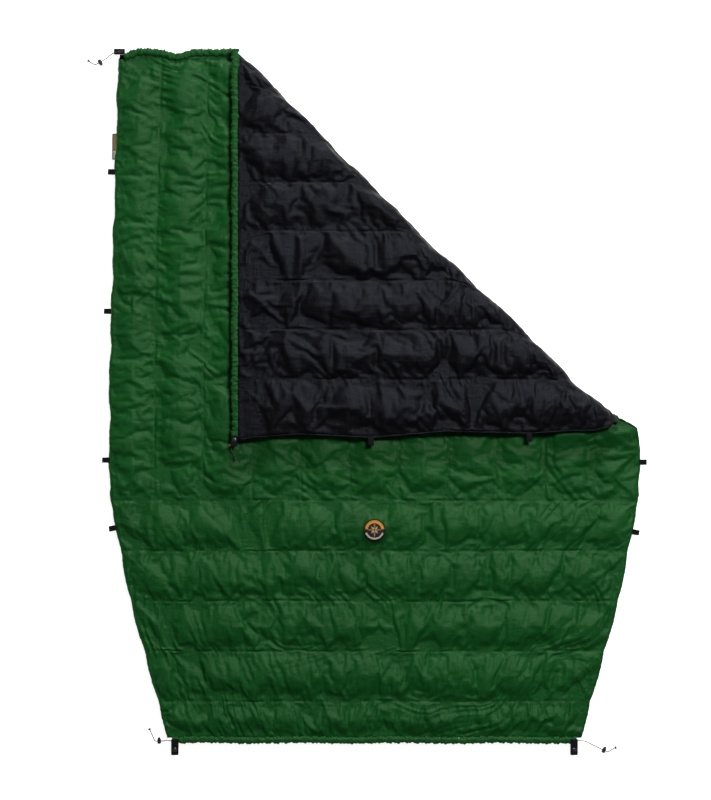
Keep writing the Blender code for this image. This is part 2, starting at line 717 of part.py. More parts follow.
def cord_lock(key, side, hang=lambda obj: obj):
    """A barrel across the cord with a sprung button in it; +Z of its pivot runs to the button."""
    _, start, end, _, along_cord = TAILS[key]
    forward = (Vector(end) - Vector(start)).normalized()
    seat = MOUTHS[key] + Vector(start) + forward * along_cord
    across = Vector((0, 0, 1)).cross(forward).normalized() * side
    place = Matrix.Translation(seat) @ Matrix(
        (forward.cross(across), forward, across)
    ).transposed().to_4x4()
    hole = CORD_DIAMETER / 2 + GAP
    bore = LOCK_DIAMETER / 2 - LOCK_WALL
    stem = bore - BUTTON_CLEARANCE
    web = 0.0012
    bottom = -(hole + web + LOCK_PRESS + GAP + LOCK_WALL)  # barrel's closed end, below the cord
    mouth = bottom + LOCK_LENGTH
    barrel = turned("lock_body_" + key, [
        (0, bottom + LOCK_WALL), (bore, bottom + LOCK_WALL), (bore, mouth),
        (LOCK_DIAMETER / 2 - 0.0004, mouth), (LOCK_DIAMETER / 2, mouth - 0.0004),
        (LOCK_DIAMETER / 2, bottom + 0.0012), (LOCK_DIAMETER / 2 - 0.0012, bottom), (0, bottom),
    ], PLASTIC)
    through = cutter(cylinder("lock_hole_" + key, hole, -LOCK_DIAMETER, LOCK_DIAMETER, 16))
    button = turned("lock_button_" + key, [
        (0, mouth + BUTTON_OUT), (stem - 0.0010, mouth + BUTTON_OUT),
        (stem, mouth + BUTTON_OUT - 0.0010), (stem, -hole - web), (0, -hole - web),
    ], PLASTIC)
    slot = cutter(box("button_slot_" + key, (-hole, -LOCK_DIAMETER, -hole),
                      (hole, LOCK_DIAMETER, hole + LOCK_PRESS)))
    cross = Matrix.Rotation(math.pi / 2, 4, "X")
    barrel.matrix_world = button.matrix_world = slot.matrix_world = place
    through.matrix_world = place @ cross
    boolean(barrel, through, "DIFFERENCE")
    boolean(button, slot, "DIFFERENCE")
    for piece in (barrel, button, slot, through):
        hang(piece)


cord_lock("neck_left", 1)
cord_lock("neck_right", -1, folded)
cord_lock("foot_left", -1)
cord_lock("foot_right", 1)

# ---------------------------------------------------------------- smooth shading of round pieces
for obj in PARTS.objects:
    if obj.type == "MESH" and obj.name.startswith(("lock_", "neck_snap", "foot_snap")):
        obj.data.shade_smooth()
bpy.context.view_layer.update()
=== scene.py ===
# %% [markdown]
# # A down camp quilt with one corner folded back
#
# This lesson dresses a plain engineering model of a camp quilt. The model gives the places:
# where the seams run, how long the hems are and where the corner folds. Every visible piece
# here is built around it, in metres, with +Y towards the head end and +Z up.

# %% Load the frame
import json
import math

import bmesh
import bpy
import numpy as np
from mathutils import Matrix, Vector


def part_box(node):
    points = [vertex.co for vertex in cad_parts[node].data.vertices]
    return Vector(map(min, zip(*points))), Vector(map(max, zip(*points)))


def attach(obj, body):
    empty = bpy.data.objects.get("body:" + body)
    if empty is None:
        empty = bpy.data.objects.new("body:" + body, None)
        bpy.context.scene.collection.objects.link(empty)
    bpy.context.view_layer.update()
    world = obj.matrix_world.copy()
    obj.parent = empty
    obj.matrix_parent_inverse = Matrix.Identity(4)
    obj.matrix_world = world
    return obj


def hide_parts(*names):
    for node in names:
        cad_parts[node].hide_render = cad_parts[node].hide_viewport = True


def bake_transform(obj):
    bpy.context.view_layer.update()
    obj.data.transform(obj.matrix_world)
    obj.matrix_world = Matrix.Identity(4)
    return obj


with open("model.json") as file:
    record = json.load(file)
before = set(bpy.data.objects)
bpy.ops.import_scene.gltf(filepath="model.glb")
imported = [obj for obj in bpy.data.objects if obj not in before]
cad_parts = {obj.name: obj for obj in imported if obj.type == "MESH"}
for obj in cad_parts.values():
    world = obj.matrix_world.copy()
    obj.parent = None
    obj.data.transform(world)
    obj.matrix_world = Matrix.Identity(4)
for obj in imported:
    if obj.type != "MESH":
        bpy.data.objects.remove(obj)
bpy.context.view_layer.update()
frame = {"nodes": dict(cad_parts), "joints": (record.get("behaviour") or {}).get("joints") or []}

# %% [markdown]
# ## Sizes
#
# The lining's box gives the padded body, without the drawcord channels that run on past it at
# the head and foot. A seam lies half way between two neighbouring down chambers, so the
# chambers' boxes give every seam. The hinge of the folded corner gives the crease.

# %% Read the sizes
padding_low, padding_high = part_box("lining_main")
FOOT, HEAD, HALF = padding_low.y, padding_high.y, padding_high.x  # edges of the padded body
shell_low, shell_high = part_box("shell_main")
FOOT_HEM, HEAD_HEM = shell_low.y, shell_high.y
fold = next(joint for joint in frame["joints"] if joint["name"] == "corner_fold")
CREASE = fold["pos_m"][0] + fold["pos_m"][1]  # the crease is the line x + y = CREASE
LOFT = fold["pos_m"][2]  # thickness of one layer of quilt
MIDDLE = LOFT / 2


def between(node_a, node_b, axis):
    """Half way between one chamber's top end and the next one's low end."""
    return (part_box(node_a)[1][axis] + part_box(node_b)[0][axis]) / 2


SEAMS_X = [between(f"down_body_{k:02d}", f"down_body_{k + 1:02d}", 0) for k in range(1, 11)]
SEAMS_Y = [between(f"down_foot_{k + 1:02d}", f"down_foot_{k:02d}", 1) for k in range(1, 5)]
CROSS = between("down_foot_01", "down_body_06", 1)  # the seam between foot and body chambers
SEAMS_Y.insert(0, CROSS)
print("body", round(HEAD - FOOT, 3), "m long;", len(SEAMS_X), "long seams,", len(SEAMS_Y), "across")

# %% [markdown]
# ## The camera
#
# The quilt is seen from straight above with a moderately long lens, so that its outline keeps
# true proportions and its raised parts hardly shift. The camera and the cords come before
# everything else, because the room that cords may take depends on the view.

# %% Place the camera
VIEW_CENTRE = (-0.053, 0.004)
VIEW_HEIGHT = 2.248  # how much of the ground the view takes in from top to bottom
LENS, SENSOR = 85.0, 36.0

camera = bpy.data.objects.new("camera", bpy.data.cameras.new("camera"))
camera.data.lens, camera.data.sensor_width = LENS, SENSOR
camera.location = (*VIEW_CENTRE, VIEW_HEIGHT * LENS / SENSOR)
camera.data.clip_end = 200  # far enough for the floor's edge
bpy.context.scene.collection.objects.link(camera)
bpy.context.scene.camera = camera
print("camera", round(camera.location.z, 2), "m above the ground")

# %% [markdown]
# ## Shader maths
#
# A finish is a tree of nodes. Written as Python, it is short: this class wraps one socket, and
# an operator between two of them, or between one and a number, adds the Math node that does it.

# %% One socket with operators


class Flow:
    """A node's output. Python's operators on it add Math nodes."""

    def __init__(self, finish, socket):
        self.finish, self.socket = finish, socket

    def maths(self, operation, *others, clamp=False):
        values = dict(enumerate([self, *others]))
        return self.finish.node("ShaderNodeMath", {"operation": operation, "use_clamp": clamp}, values)

    def __add__(self, other):
        return self.maths("ADD", other)

    def __sub__(self, other):
        return self.maths("SUBTRACT", other)

    def __rsub__(self, other):
        return (self * -1) + other

    def __mul__(self, other):
        return self.maths("MULTIPLY", other)

    def __truediv__(self, other):
        return self.maths("DIVIDE", other)

    def __pow__(self, other):
        return self.maths("POWER", other)

    def __gt__(self, other):
        return self.maths("GREATER_THAN", other)

    __radd__, __rmul__ = __add__, __mul__


class Finish:
    """A material under construction: one Principled BSDF and what feeds it."""

    def __init__(self, name, **fixed):
        self.material = bpy.data.materials.new(name)
        self.material.use_nodes = True
        self.tree = self.material.node_tree
        self.shader = self.tree.nodes["Principled BSDF"]
        for socket, value in fixed.items():
            self.shader.inputs[socket.replace("_", " ")].default_value = value

    def node(self, kind, settings=None, values=None, out=0):
        """Adds a node: its settings first, then numbers or links for its sockets."""
        made = self.tree.nodes.new(kind)
        for name, value in (settings or {}).items():
            setattr(made, name, value)
        by_identifier = {socket.identifier: socket for socket in made.inputs}
        for name, value in (values or {}).items():
            socket = made.inputs[name] if isinstance(name, int) else by_identifier.get(name)
            socket = socket or made.inputs[name]
            if isinstance(value, Flow):
                self.tree.links.new(value.socket, socket)
            else:
                socket.default_value = value
        outputs = {socket.identifier: socket for socket in made.outputs}
        return Flow(self, made.outputs[out] if isinstance(out, int) else outputs[out])

    def into(self, socket, flow):
        self.tree.links.new(flow.socket, self.shader.inputs[socket])

    def place(self, by="Object"):
        return self.node("ShaderNodeTexCoord", out=by)

    def along(self, vector, axis):
        return self.node("ShaderNodeSeparateXYZ", {}, {"Vector": vector}, out=axis)

    def moved(self, vector, scale, turn):
        return self.node("ShaderNodeMapping", {}, {"Vector": vector, "Scale": scale, "Rotation": turn})

    def noise(self, vector, scale, detail=2.0, roughness=0.5):
        return self.node("ShaderNodeTexNoise", {}, {
            "Vector": vector, "Scale": scale, "Detail": detail, "Roughness": roughness})

    def mix(self, share, a, b):
        return self.node("ShaderNodeMix", {"data_type": "RGBA"}, {
            "Factor_Float": share, "A_Color": a, "B_Color": b}, out="Result_Color")

    def bump(self, height, distance):
        self.into("Normal", self.node("ShaderNodeBump", {}, {
            "Height": height, "Distance": distance, "Strength": 1.0}))


def rgb(red, green, blue):
    """A colour for a socket, from 0 to 1 in linear light."""
    return (red, green, blue, 1.0)


def times(colour, factor, plus=0.0):
    """A colour made lighter or darker."""
    return rgb(*(c * factor + plus for c in colour[:3]))


print("shader maths ready")

# %% [markdown]
# ## Quilt cloth
#
# Shell and lining are thin, dense nylon. Up close it is a plain weave with a slightly thicker
# thread every few millimetres, the ripstop. From further off, fine creases catch the light and
# the dye varies a little. The pattern follows the cloth through the piece's own UV map, which
# holds the flat cloth's metres, so it bends with every wrinkle.

# %% The cloth's finish
RIPSTOP = 0.0050  # one square of thicker threads
THREAD = 0.0007
CREASE_DEPTH = 0.0018  # of the fine creases


def quilt_cloth(name, dark, light, roughness, gloss, tint):
    cloth = Finish(name, Roughness=roughness, Sheen_Weight=0.02, Sheen_Roughness=0.35,
                   Sheen_Tint=tint, Specular_IOR_Level=gloss, Specular_Tint=tint)
    flat = cloth.place("UV")
    drift = cloth.noise(flat, 3.5, 3)
    mottle = cloth.noise(flat, 38.0, 4, 0.6)
    shade = (drift * 0.9 + mottle * 0.55).maths("SUBTRACT", 0.30, clamp=True)
    cloth.into("Base Color", cloth.mix(shade, dark, light))
    cloth.into("Roughness", roughness - 0.05 + mottle * 0.12)
    u, v = cloth.along(flat, "X"), cloth.along(flat, "Y")
    weave = (u * (2 * math.pi / THREAD)).maths("SINE") * (v * (2 * math.pi / THREAD)).maths("SINE")
    square = ((u / RIPSTOP).maths("FRACT") > 0.9).maths("MAXIMUM", (v / RIPSTOP).maths("FRACT") > 0.9)
    slanted = cloth.moved(flat, scale=(22, 70, 1), turn=(0, 0, 0.5))
    crossed = cloth.moved(flat, scale=(60, 20, 1), turn=(0, 0, -0.35))
    creases = cloth.noise(slanted, 1.0, 3, 0.6) + cloth.noise(crossed, 1.0, 3, 0.6)
    cloth.bump(creases + weave * 0.025 + square * 0.05, CREASE_DEPTH)
    return cloth.material


SHELL_CLOTH = quilt_cloth("shell ripstop", rgb(0.0028, 0.050, 0.0076), rgb(0.0072, 0.088, 0.0150),
                          0.38, 0.17, rgb(0.80, 1.0, 0.75))
LINING_CLOTH = quilt_cloth("lining taffeta", rgb(0.0018, 0.0017, 0.0023), rgb(0.0040, 0.0038, 0.0052),
                           0.36, 0.125, rgb(0.78, 0.83, 1.0))
print(SHELL_CLOTH.name, "and", LINING_CLOTH.name)

# %% [markdown]
# ## Tape, webbing, cord, plastic and thread
#
# Grosgrain has fine ribs across its length. Webbing is coarser. A braided cord shows a
# diagonal lattice, and moulded plastic has a fine spark-eroded grain.

# %% Ribbed tape and webbing


def ribbed(name, colour, rib, across):
    """Woven tape: ribs every `rib` metres along the axis named by `across`."""
    tape = Finish(name, Roughness=0.75, Specular_IOR_Level=0.15)
    here = tape.place()
    ribs = (tape.along(here, across) * (2 * math.pi / rib)).maths("SINE")
    fuzz = tape.noise(here, 900.0, 2)
    tape.into("Base Color", tape.mix(ribs * 0.35 + fuzz * 0.6, times(colour, 0.5), colour))
    tape.into("Roughness", 0.68 + fuzz * 0.2)
    tape.bump(ribs * 0.6 + fuzz * 0.5, 0.00025)
    return tape.material


TAPE_ALONG_X = ribbed("grosgrain, ribs along x", rgb(0.0065, 0.0062, 0.0070), 0.0011, "X")
TAPE_ALONG_Y = ribbed("grosgrain, ribs along y", rgb(0.0065, 0.0062, 0.0070), 0.0011, "Y")
WEBBING = ribbed("corner webbing", rgb(0.0060, 0.0058, 0.0066), 0.0018, "Y")

# %% Braid, plastic and thread


def moulded(name, colour, roughness):
    plastic = Finish(name, Roughness=roughness, Specular_IOR_Level=0.5)
    here = plastic.place()
    grain = plastic.noise(here, 1400.0, 3)
    wear = plastic.noise(here, 160.0, 3)
    scuffs = (wear - 0.42).maths("MULTIPLY", 2.0, clamp=True)
    plastic.into("Base Color", plastic.mix(scuffs, colour, times(colour, 2.6, 0.01)))
    plastic.into("Roughness", roughness - 0.06 + grain * 0.16)
    plastic.bump(grain, 0.00012)
    return plastic.material


def braided(name, colour, fleck):
    """Cord sleeve: two families of strands that wind opposite ways, on the cord's own UV map."""
    braid = Finish(name, Roughness=0.6, Specular_IOR_Level=0.2)
    flat = braid.place("UV")
    around = braid.along(flat, "Y") * (8 * math.pi)  # four strands each way
    length = braid.along(flat, "X") * 2400.0
    lattice = (around + length).maths("SINE").maths("MAXIMUM", (around - length).maths("SINE"))
    braid.into("Base Color", braid.mix((lattice * 0.5 + 0.5) ** 2.0, colour, fleck))
    braid.into("Roughness", 0.7 - lattice * 0.12)
    braid.bump(lattice, 0.0003)
    return braid.material


BLACK_PLASTIC = moulded("lock plastic", rgb(0.006, 0.006, 0.007), 0.36)
SNAP_PLASTIC = moulded("snap plastic", rgb(0.016, 0.016, 0.018), 0.26)
GREY_CORD = braided("grey elastic cord", rgb(0.012, 0.012, 0.011), rgb(0.070, 0.070, 0.065))
DARK_CORD = braided("dark elastic cord", rgb(0.012, 0.012, 0.013), rgb(0.085, 0.085, 0.085))


def spun(name, colour):
    thread = Finish(name, Roughness=0.60, Specular_IOR_Level=0.2)
    twist = thread.noise(thread.place(), 2600.0, 1)
    thread.into("Base Color", thread.mix(twist, colour, times(colour, 1.8)))
    thread.bump(twist, 0.0001)
    return thread.material


GREEN_THREAD = spun("green thread", rgb(0.006, 0.045, 0.010))
BLACK_THREAD = spun("black thread", rgb(0.006, 0.006, 0.007))
AMBER_THREAD = spun("amber thread", rgb(0.55, 0.25, 0.035))
PALE_THREAD = spun("pale thread", rgb(0.52, 0.47, 0.38))
CHARCOAL_THREAD = spun("charcoal thread", rgb(0.0085, 0.0080, 0.0085))
GOLD_THREAD = spun("old gold thread", rgb(0.115, 0.078, 0.030))
BONE_THREAD = spun("bone thread", rgb(0.26, 0.235, 0.19))
print(len(bpy.data.materials), "materials so far")

# %% [markdown]
# ## Drawcords
#
# An elastic cord leaves each end of its channel, drops to the ground through a sprung cord
# lock and ends in a knot. The routes are given point by point: straight out of the channel's mouth,
# over the corner tab, down, straight through the lock and on along the ground in a loose
# curve. The folded corner's tail lies on the quilt instead. A tube that follows a smooth curve
# through the route makes the cord, with a UV map in metres for the braid.

# %% Curves and tubes


def smooth(points, spacing):
    """Points about that far apart on the smooth curve through the given ones."""
    points = [Vector(p) for p in points]
    ends = [2 * points[0] - points[1], *points, 2 * points[-1] - points[-2]]
    fine = [points[0]]
    for a, b, c, d in zip(ends, ends[1:], ends[2:], ends[3:]):
        steps = max(1, round((c - b).length / spacing))
        for i in range(1, steps + 1):
            t = i / steps
            fine.append(0.5 * (2 * b + (c - a) * t + (2 * a - 5 * b + 4 * c - d) * t * t
                               + (3 * b - a - 3 * c + d) * t * t * t))
    return fine


def wear_on(name, mesh_or_bm, look, body=None):
    """Makes an object of a mesh, shades it smoothly, gives it its finish and its body."""
    mesh = mesh_or_bm
    if isinstance(mesh_or_bm, bmesh.types.BMesh):
        mesh = bpy.data.meshes.new(name)
        mesh_or_bm.to_mesh(mesh)
        mesh_or_bm.free()
    for polygon in mesh.polygons:
        polygon.use_smooth = True
    made = bpy.data.objects.new(name, mesh)
    made.data.materials.clear()
    made.data.materials.append(look)
    bpy.context.scene.collection.objects.link(made)
    if body:
        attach(made, body)
    return made


def tube(name, path, across, up, look, body=None, sides=12, girth=1.0):
    """A closed tube along a path. across and up are its half sizes, girth its UV map's height.

    across may be one number or one for each point of the path.
    """
    path = [Vector(p) for p in path]
    count = len(path)
    across = across if hasattr(across, "__len__") else [across] * count
    bm = bmesh.new()
    uv = bm.loops.layers.uv.new("UVMap")
    rings, run = [], [0.0]
    side = None
    for i, here in enumerate(path):
        ahead = (path[min(i + 1, count - 1)] - path[max(i - 1, 0)]).normalized()
        level = Vector((0, 0, 1)) if side is None else ahead.cross(side)
        side = level.cross(ahead)
        if side.length < 0.05:
            side = Vector((1, 0, 0)).cross(ahead)
        side.normalize()
        over = ahead.cross(side)
        turns = [2 * math.pi * k / sides for k in range(sides)]
        rings.append([bm.verts.new(here + side * (math.cos(a) * across[i])
                                   + over * (math.sin(a) * up)) for a in turns])
        if i:
            run.append(run[-1] + (here - path[i - 1]).length)
    for i in range(count - 1):
        for k in range(sides):
            m = (k + 1) % sides
            face = bm.faces.new((rings[i][k], rings[i + 1][k], rings[i + 1][m], rings[i][m]))
            places = ((i, k), (i + 1, k), (i + 1, k + 1), (i, k + 1))
            for loop, (along, around) in zip(face.loops, places):
                loop[uv].uv = (run[along], around / sides * girth)
    for ring, at in ((rings[0], 0), (rings[-1], count - 1)):
        middle = bm.verts.new(path[at])
        for k in range(sides):
            bm.faces.new((ring[k], ring[(k + 1) % sides], middle))
    bmesh.ops.recalc_face_normals(bm, faces=bm.faces)
    return wear_on(name, bm, look, body)


print("curves and tubes ready")

# %% The routes, point by point
CORD = 0.0025  # diameter
GAP = 0.0003  # between pieces that touch
LOCK_DIAMETER = 0.0105
CHANNEL_Z = MIDDLE + GAP + 0.004
DROP = LOCK_DIAMETER / 2 + 2 * GAP - CHANNEL_Z  # from the mouth's height down to a lock's
FLOOR = CORD / 2 + 2 * GAP - CHANNEL_Z  # and down to a cord's on the ground
SINK = (DROP + FLOOR) / 2
LEAD = 0.003  # straight run before and after a lock
MOUTHS = {
    "neck_left": (-0.7020, 0.9790, CHANNEL_Z), "neck_right": (0.68777, 0.9790, CHANNEL_Z),
    "foot_left": (-0.5680, -0.9490, CHANNEL_Z), "foot_right": (0.5680, -0.9490, CHANNEL_Z),
}
TAILS = {  # from each mouth: the way to the lock, where it goes in and comes out, and the way on
    "neck_left": (
        [(-0.010, -0.0010, 0.0), (-0.021, -0.0025, 0.0), (-0.0310, -0.0060, -0.0020),
         (-0.0390, -0.0100, -0.0085), (-0.0450, -0.0134, -0.0165)],
        (-0.0535, -0.0183, DROP), (-0.0765, -0.0315, DROP),
        [(-0.0830, -0.0330, SINK), (-0.0910, -0.0290, FLOOR), (-0.1000, -0.0227, FLOOR)],
    ),
    "neck_right": (
        [(0.0040, 0.0010, 0.0010), (0.0090, 0.0055, 0.0065)],
        (0.0165, 0.0095, 0.0115), (0.0345, 0.0095, 0.0115),
        [(0.0430, 0.0065, 0.0135), (0.0520, 0.0015, 0.0150), (0.0606, -0.0020, 0.0150)],
    ),
    "foot_left": (
        [(-0.0050, 0.0, -0.0005), (-0.0110, -0.0010, -0.0065), (-0.0158, -0.0020, -0.0145)],
        (-0.0225, -0.0035, DROP), (-0.0430, -0.0045, DROP),
        [(-0.0500, -0.0010, SINK), (-0.0540, 0.0080, FLOOR), (-0.0585, 0.0180, FLOOR),
         (-0.0630, 0.0280, FLOOR)],
    ),
    "foot_right": (
        [(0.0070, 0.0, -0.0005), (0.0160, -0.0010, -0.0055), (0.0250, -0.0040, -0.0125),
         (0.0340, -0.0090, -0.0185)],
        (0.0450, -0.0150, DROP), (0.0830, -0.0330, DROP),
        [(0.0890, -0.0345, SINK), (0.0980, -0.0290, FLOOR), (0.1087, -0.0236, FLOOR)],
    ),
}


def turned_over(point):
    """Where a point of the open quilt's corner lies once the corner is folded back."""
    x, y, z = point
    return Vector((CREASE - y, CREASE - x, 2 * LOFT - z))


def tail_route(key):
    before, start, end, after = TAILS[key]
    start, end = Vector(start), Vector(end)
    lead = (end - start).normalized() * LEAD
    route = [Vector(), *map(Vector, before), start - lead, start, end, end + lead, *map(Vector, after)]
    placed = [Vector(MOUTHS[key]) + p for p in smooth(route, 3 * CORD)]
    return [turned_over(p) for p in placed] if key == "neck_right" else placed


def route_length(points):
    return sum((b - a).length for a, b in zip(points, points[1:]))


for key in TAILS:
    print(key, round(route_length(tail_route(key)) * 1000), "mm of tail")

# %% [markdown]
# Each tail ends in an overhand knot. A trefoil curve is an overhand knot drawn tight, and a
# cord tube along it gives the real lump with its crossings. It sits on the cord's end.

# %% Tails and their knots
KNOT = 0.0017  # half the knot's inner reach
KNOT_SHIFT = 0.0012  # from the cord's end to the knot's middle, along it and up
KNOT_STEPS = 48


def knot(name, at, heading, body, look):
    """A trefoil of cord around the tail's end, flattened a little."""
    turn = heading.to_track_quat("X", "Z").to_matrix()
    path = []
    for i in range(KNOT_STEPS + 1):
        a = 2 * math.pi * i / KNOT_STEPS
        local = Vector((math.sin(3 * a) * 0.9, math.sin(a) + 2 * math.sin(2 * a),
                        math.cos(a) - 2 * math.cos(2 * a)))
        path.append(at + turn @ (Vector((local.x, local.y * 0.62, local.z * 0.42)) * KNOT))
    return tube(name, path, CORD * 0.46, CORD * 0.46, look, body, sides=8)


def tail(key, body):
    route = tail_route(key)
    look = DARK_CORD if key == "neck_right" else GREY_CORD
    piece = tube(f"{key}_tail", route, CORD / 2, CORD / 2, look, body)
    heading = (route[-1] - route[-2]).normalized()
    end = route[-1] + heading * KNOT_SHIFT + Vector((0, 0, KNOT_SHIFT))
    knotted = knot(f"{key}_knot", end, heading, body, look)
    route_length(route)
    return piece


for key in TAILS:
    tail(key, "corner_flap" if key == "neck_right" else "quilt")
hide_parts("neck_cord_left")
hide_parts("neck_cord_right")
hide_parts("foot_cord")
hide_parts("foot_cord")

# %% [markdown]
# ## The quilt's cloth, flat
#
# Shell and lining share one flat grid. Its columns and rows fall exactly on the seams, so that
# a seam is a line of points that can be held still. Below the cross seam the chambers lie
# across the quilt, and above it they run along it.

# %% Rows and columns
ACROSS = 20  # grid steps over one chamber
EDGE_STEPS = 18  # over an outermost chamber
FOOT_STEPS = 15  # over the lowest foot chamber
BODY_STEPS = 180  # along the long chambers


def stops_through(places, steps):
    """Evenly spread values between each place and the next, with that many steps each."""
    values = [places[0]]
    for a, b, count in zip(places, places[1:], steps):
        values += list(np.linspace(a, b, count + 1)[1:])
    return np.array(values)


COLUMNS = stops_through([-HALF, *SEAMS_X, HALF], [EDGE_STEPS, *[ACROSS] * 9, EDGE_STEPS])
ROWS = stops_through([FOOT, *SEAMS_Y[::-1], HEAD], [FOOT_STEPS, *[ACROSS] * 4, BODY_STEPS])
U, V = np.meshgrid(COLUMNS, ROWS)
SEAM_COLUMNS = [EDGE_STEPS + ACROSS * k for k in range(10)]
SEAM_ROWS = [FOOT_STEPS + ACROSS * k for k in range(5)]
CROSS_ROW = SEAM_ROWS[-1]
HELD = np.zeros(U.shape, bool)
HELD[CROSS_ROW:, SEAM_COLUMNS] = True
HELD[SEAM_ROWS, :] = True
HELD[[0, -1], :] = True
HELD[:, [0, -1]] = True
print("grid of", U.shape[0], "rows by", U.shape[1], "columns;", int(HELD.sum()), "points held")

# %% [markdown]
# Random waves that are the same on every run come from a small table of random numbers,
# blended smoothly between its entries.

# %% Random waves


def ripple(x, y, seed):
    """Smooth random waves between -1 and 1, about one per unit of x and y."""
    table = np.random.default_rng(seed).uniform(-1, 1, (256, 256))
    i, j = np.floor(x).astype(int), np.floor(y).astype(int)
    fx, fy = x - i, y - j
    fx, fy = fx * fx * (3 - 2 * fx), fy * fy * (3 - 2 * fy)
    low = table[i % 256, j % 256] * (1 - fx) + table[(i + 1) % 256, j % 256] * fx
    high = table[i % 256, (j + 1) % 256] * (1 - fx) + table[(i + 1) % 256, (j + 1) % 256] * fx
    return low * (1 - fy) + high * fy


def ease(t):
    """From 0 to 1 with soft ends."""
    t = np.clip(t, 0, 1)
    return t * t * (3 - 2 * t)


def seam_distance(u, v):
    """How far each point lies from the nearest seam of its own section, or from the rim."""
    long_seams = np.min([np.abs(u - s) for s in [-HALF, *SEAMS_X, HALF]], axis=0)
    cross_seams = np.min([np.abs(v - s) for s in [FOOT, *SEAMS_Y]], axis=0)
    body = np.minimum(long_seams, np.minimum(np.abs(v - CROSS), HEAD - v))
    foot = np.minimum(cross_seams, HALF - np.abs(u))
    return np.where(v > CROSS, body, foot)


DISTANCE = seam_distance(U, V)
print("furthest point from a seam:", round(float(DISTANCE.max()) * 1000, 1), "mm")

# %% [markdown]
# ## Filling the chambers with down
#
# Real down pushes the cloth up between seams that hold it. Cloth simulation does the same:
# seam points are pinned, the cloth is a few per cent larger than its place, and a little
# pressure stands for the down. The spare cloth buckles into the gathers that run off every
# seam. How far a point may rise is limited afterwards.

# %% Inflate the cloth
CHAMBER_RISE = 0.008  # the starting shape's height
CHAMBER_WIDTH = 0.1367
FRAMES = 24


def starting_height(u, v, seed):
    pillow = np.sqrt(np.clip(DISTANCE / (0.5 * CHAMBER_WIDTH), 0, 1))
    return CHAMBER_RISE * pillow + 0.0007 * ripple(u * 60, v * 60, seed) * (pillow > 0)


def quads(index):
    """The four corners of every face of a grid of numbered points."""
    return np.stack([index[:-1, :-1], index[:-1, 1:], index[1:, 1:], index[1:, :-1]], -1)


def inflate(seed, rows, spare, push):
    """The grid (rows x columns x 3) after the pressure has pushed cloth larger by the spare share."""
    u, v = U[rows], V[rows]
    grid = np.stack([u, v, starting_height(U, V, seed)[rows]], axis=-1)
    high, wide = u.shape
    index = np.arange(high * wide).reshape(high, wide)
    mesh = bpy.data.meshes.new("cloth")
    mesh.from_pydata(grid.reshape(-1, 3).tolist(), [], quads(index).reshape(-1, 4).tolist())
    cloth = bpy.data.objects.new("cloth", mesh)
    bpy.context.scene.collection.objects.link(cloth)
    held = HELD[rows].copy()
    held[[0, -1], :] = True
    pins = cloth.vertex_groups.new(name="seams")
    pins.add(np.flatnonzero(held.reshape(-1)).tolist(), 1.0, "REPLACE")
    modifier = cloth.modifiers.new("down", "CLOTH")
    settings = modifier.settings
    settings.vertex_group_mass = "seams"
    settings.quality, settings.mass = 5, 0.1
    settings.use_pressure, settings.uniform_pressure_force = True, push
    settings.shrink_min = settings.shrink_max = -spare
    settings.tension_stiffness = settings.compression_stiffness = 15
    settings.shear_stiffness, settings.bending_stiffness = 5, 0.02
    settings.air_damping = 3
    settings.effector_weights.gravity = 0
    modifier.collision_settings.use_collision = False
    modifier.point_cache.frame_start, modifier.point_cache.frame_end = 1, FRAMES + 1
    for step in range(1, FRAMES + 1):
        bpy.context.scene.frame_set(step)
    settled = cloth.evaluated_get(bpy.context.evaluated_depsgraph_get()).data
    moved = np.empty(high * wide * 3, np.float32)
    settled.vertices.foreach_get("co", moved)
    bpy.data.objects.remove(cloth)
    bpy.context.scene.frame_set(1)
    return moved.reshape(high, wide, 3).astype(float)


every_row = slice(0, len(ROWS))
SHELL_CLOTH_GRID = inflate(11, every_row, 0.090, 2.6)
print("shell rises", round(float(SHELL_CLOTH_GRID[..., 2].max()) * 1000, 1), "mm")

# %% The lining's folded part
upper_rows = slice(CROSS_ROW, len(ROWS))  # the corner needs the long chambers only
LINING_CLOTH_GRID = np.stack([U, V, np.zeros(U.shape)], axis=-1)
LINING_CLOTH_GRID[upper_rows] = inflate(29, upper_rows, 0.100, 2.2)
print("lining rises", round(float(LINING_CLOTH_GRID[..., 2].max()) * 1000, 1), "mm")

# %% [markdown]
# The simulated grid is coarse beside a real gather, so it is doubled by cubic averaging, and
# finer gathers are added to it: short ridges that leave each seam at right angles and die
# out within two centimetres, and a few long slack creases.

# %% Double the grid and gather it


def finer(grid):
    """Twice as many rows and columns, smoothed as a cubic B-spline surface."""
    for axis in (0, 1):
        g = np.moveaxis(grid, axis, 0)
        out = np.empty((2 * len(g) - 1, *g.shape[1:]))
        out[1::2] = (g[:-1] + g[1:]) / 2
        out[2:-2:2] = (g[:-2] + 6 * g[1:-1] + g[2:]) / 8
        out[0], out[-1] = g[0], g[-1]
        grid = np.moveaxis(out, 0, axis)
    return grid


def folds(c, run, seed):
    """Rounded ridges with sharp valleys between: c counts them and run is their length."""
    return 1.6 * np.abs(ripple(c, run, seed)) ** 0.8 - 0.55


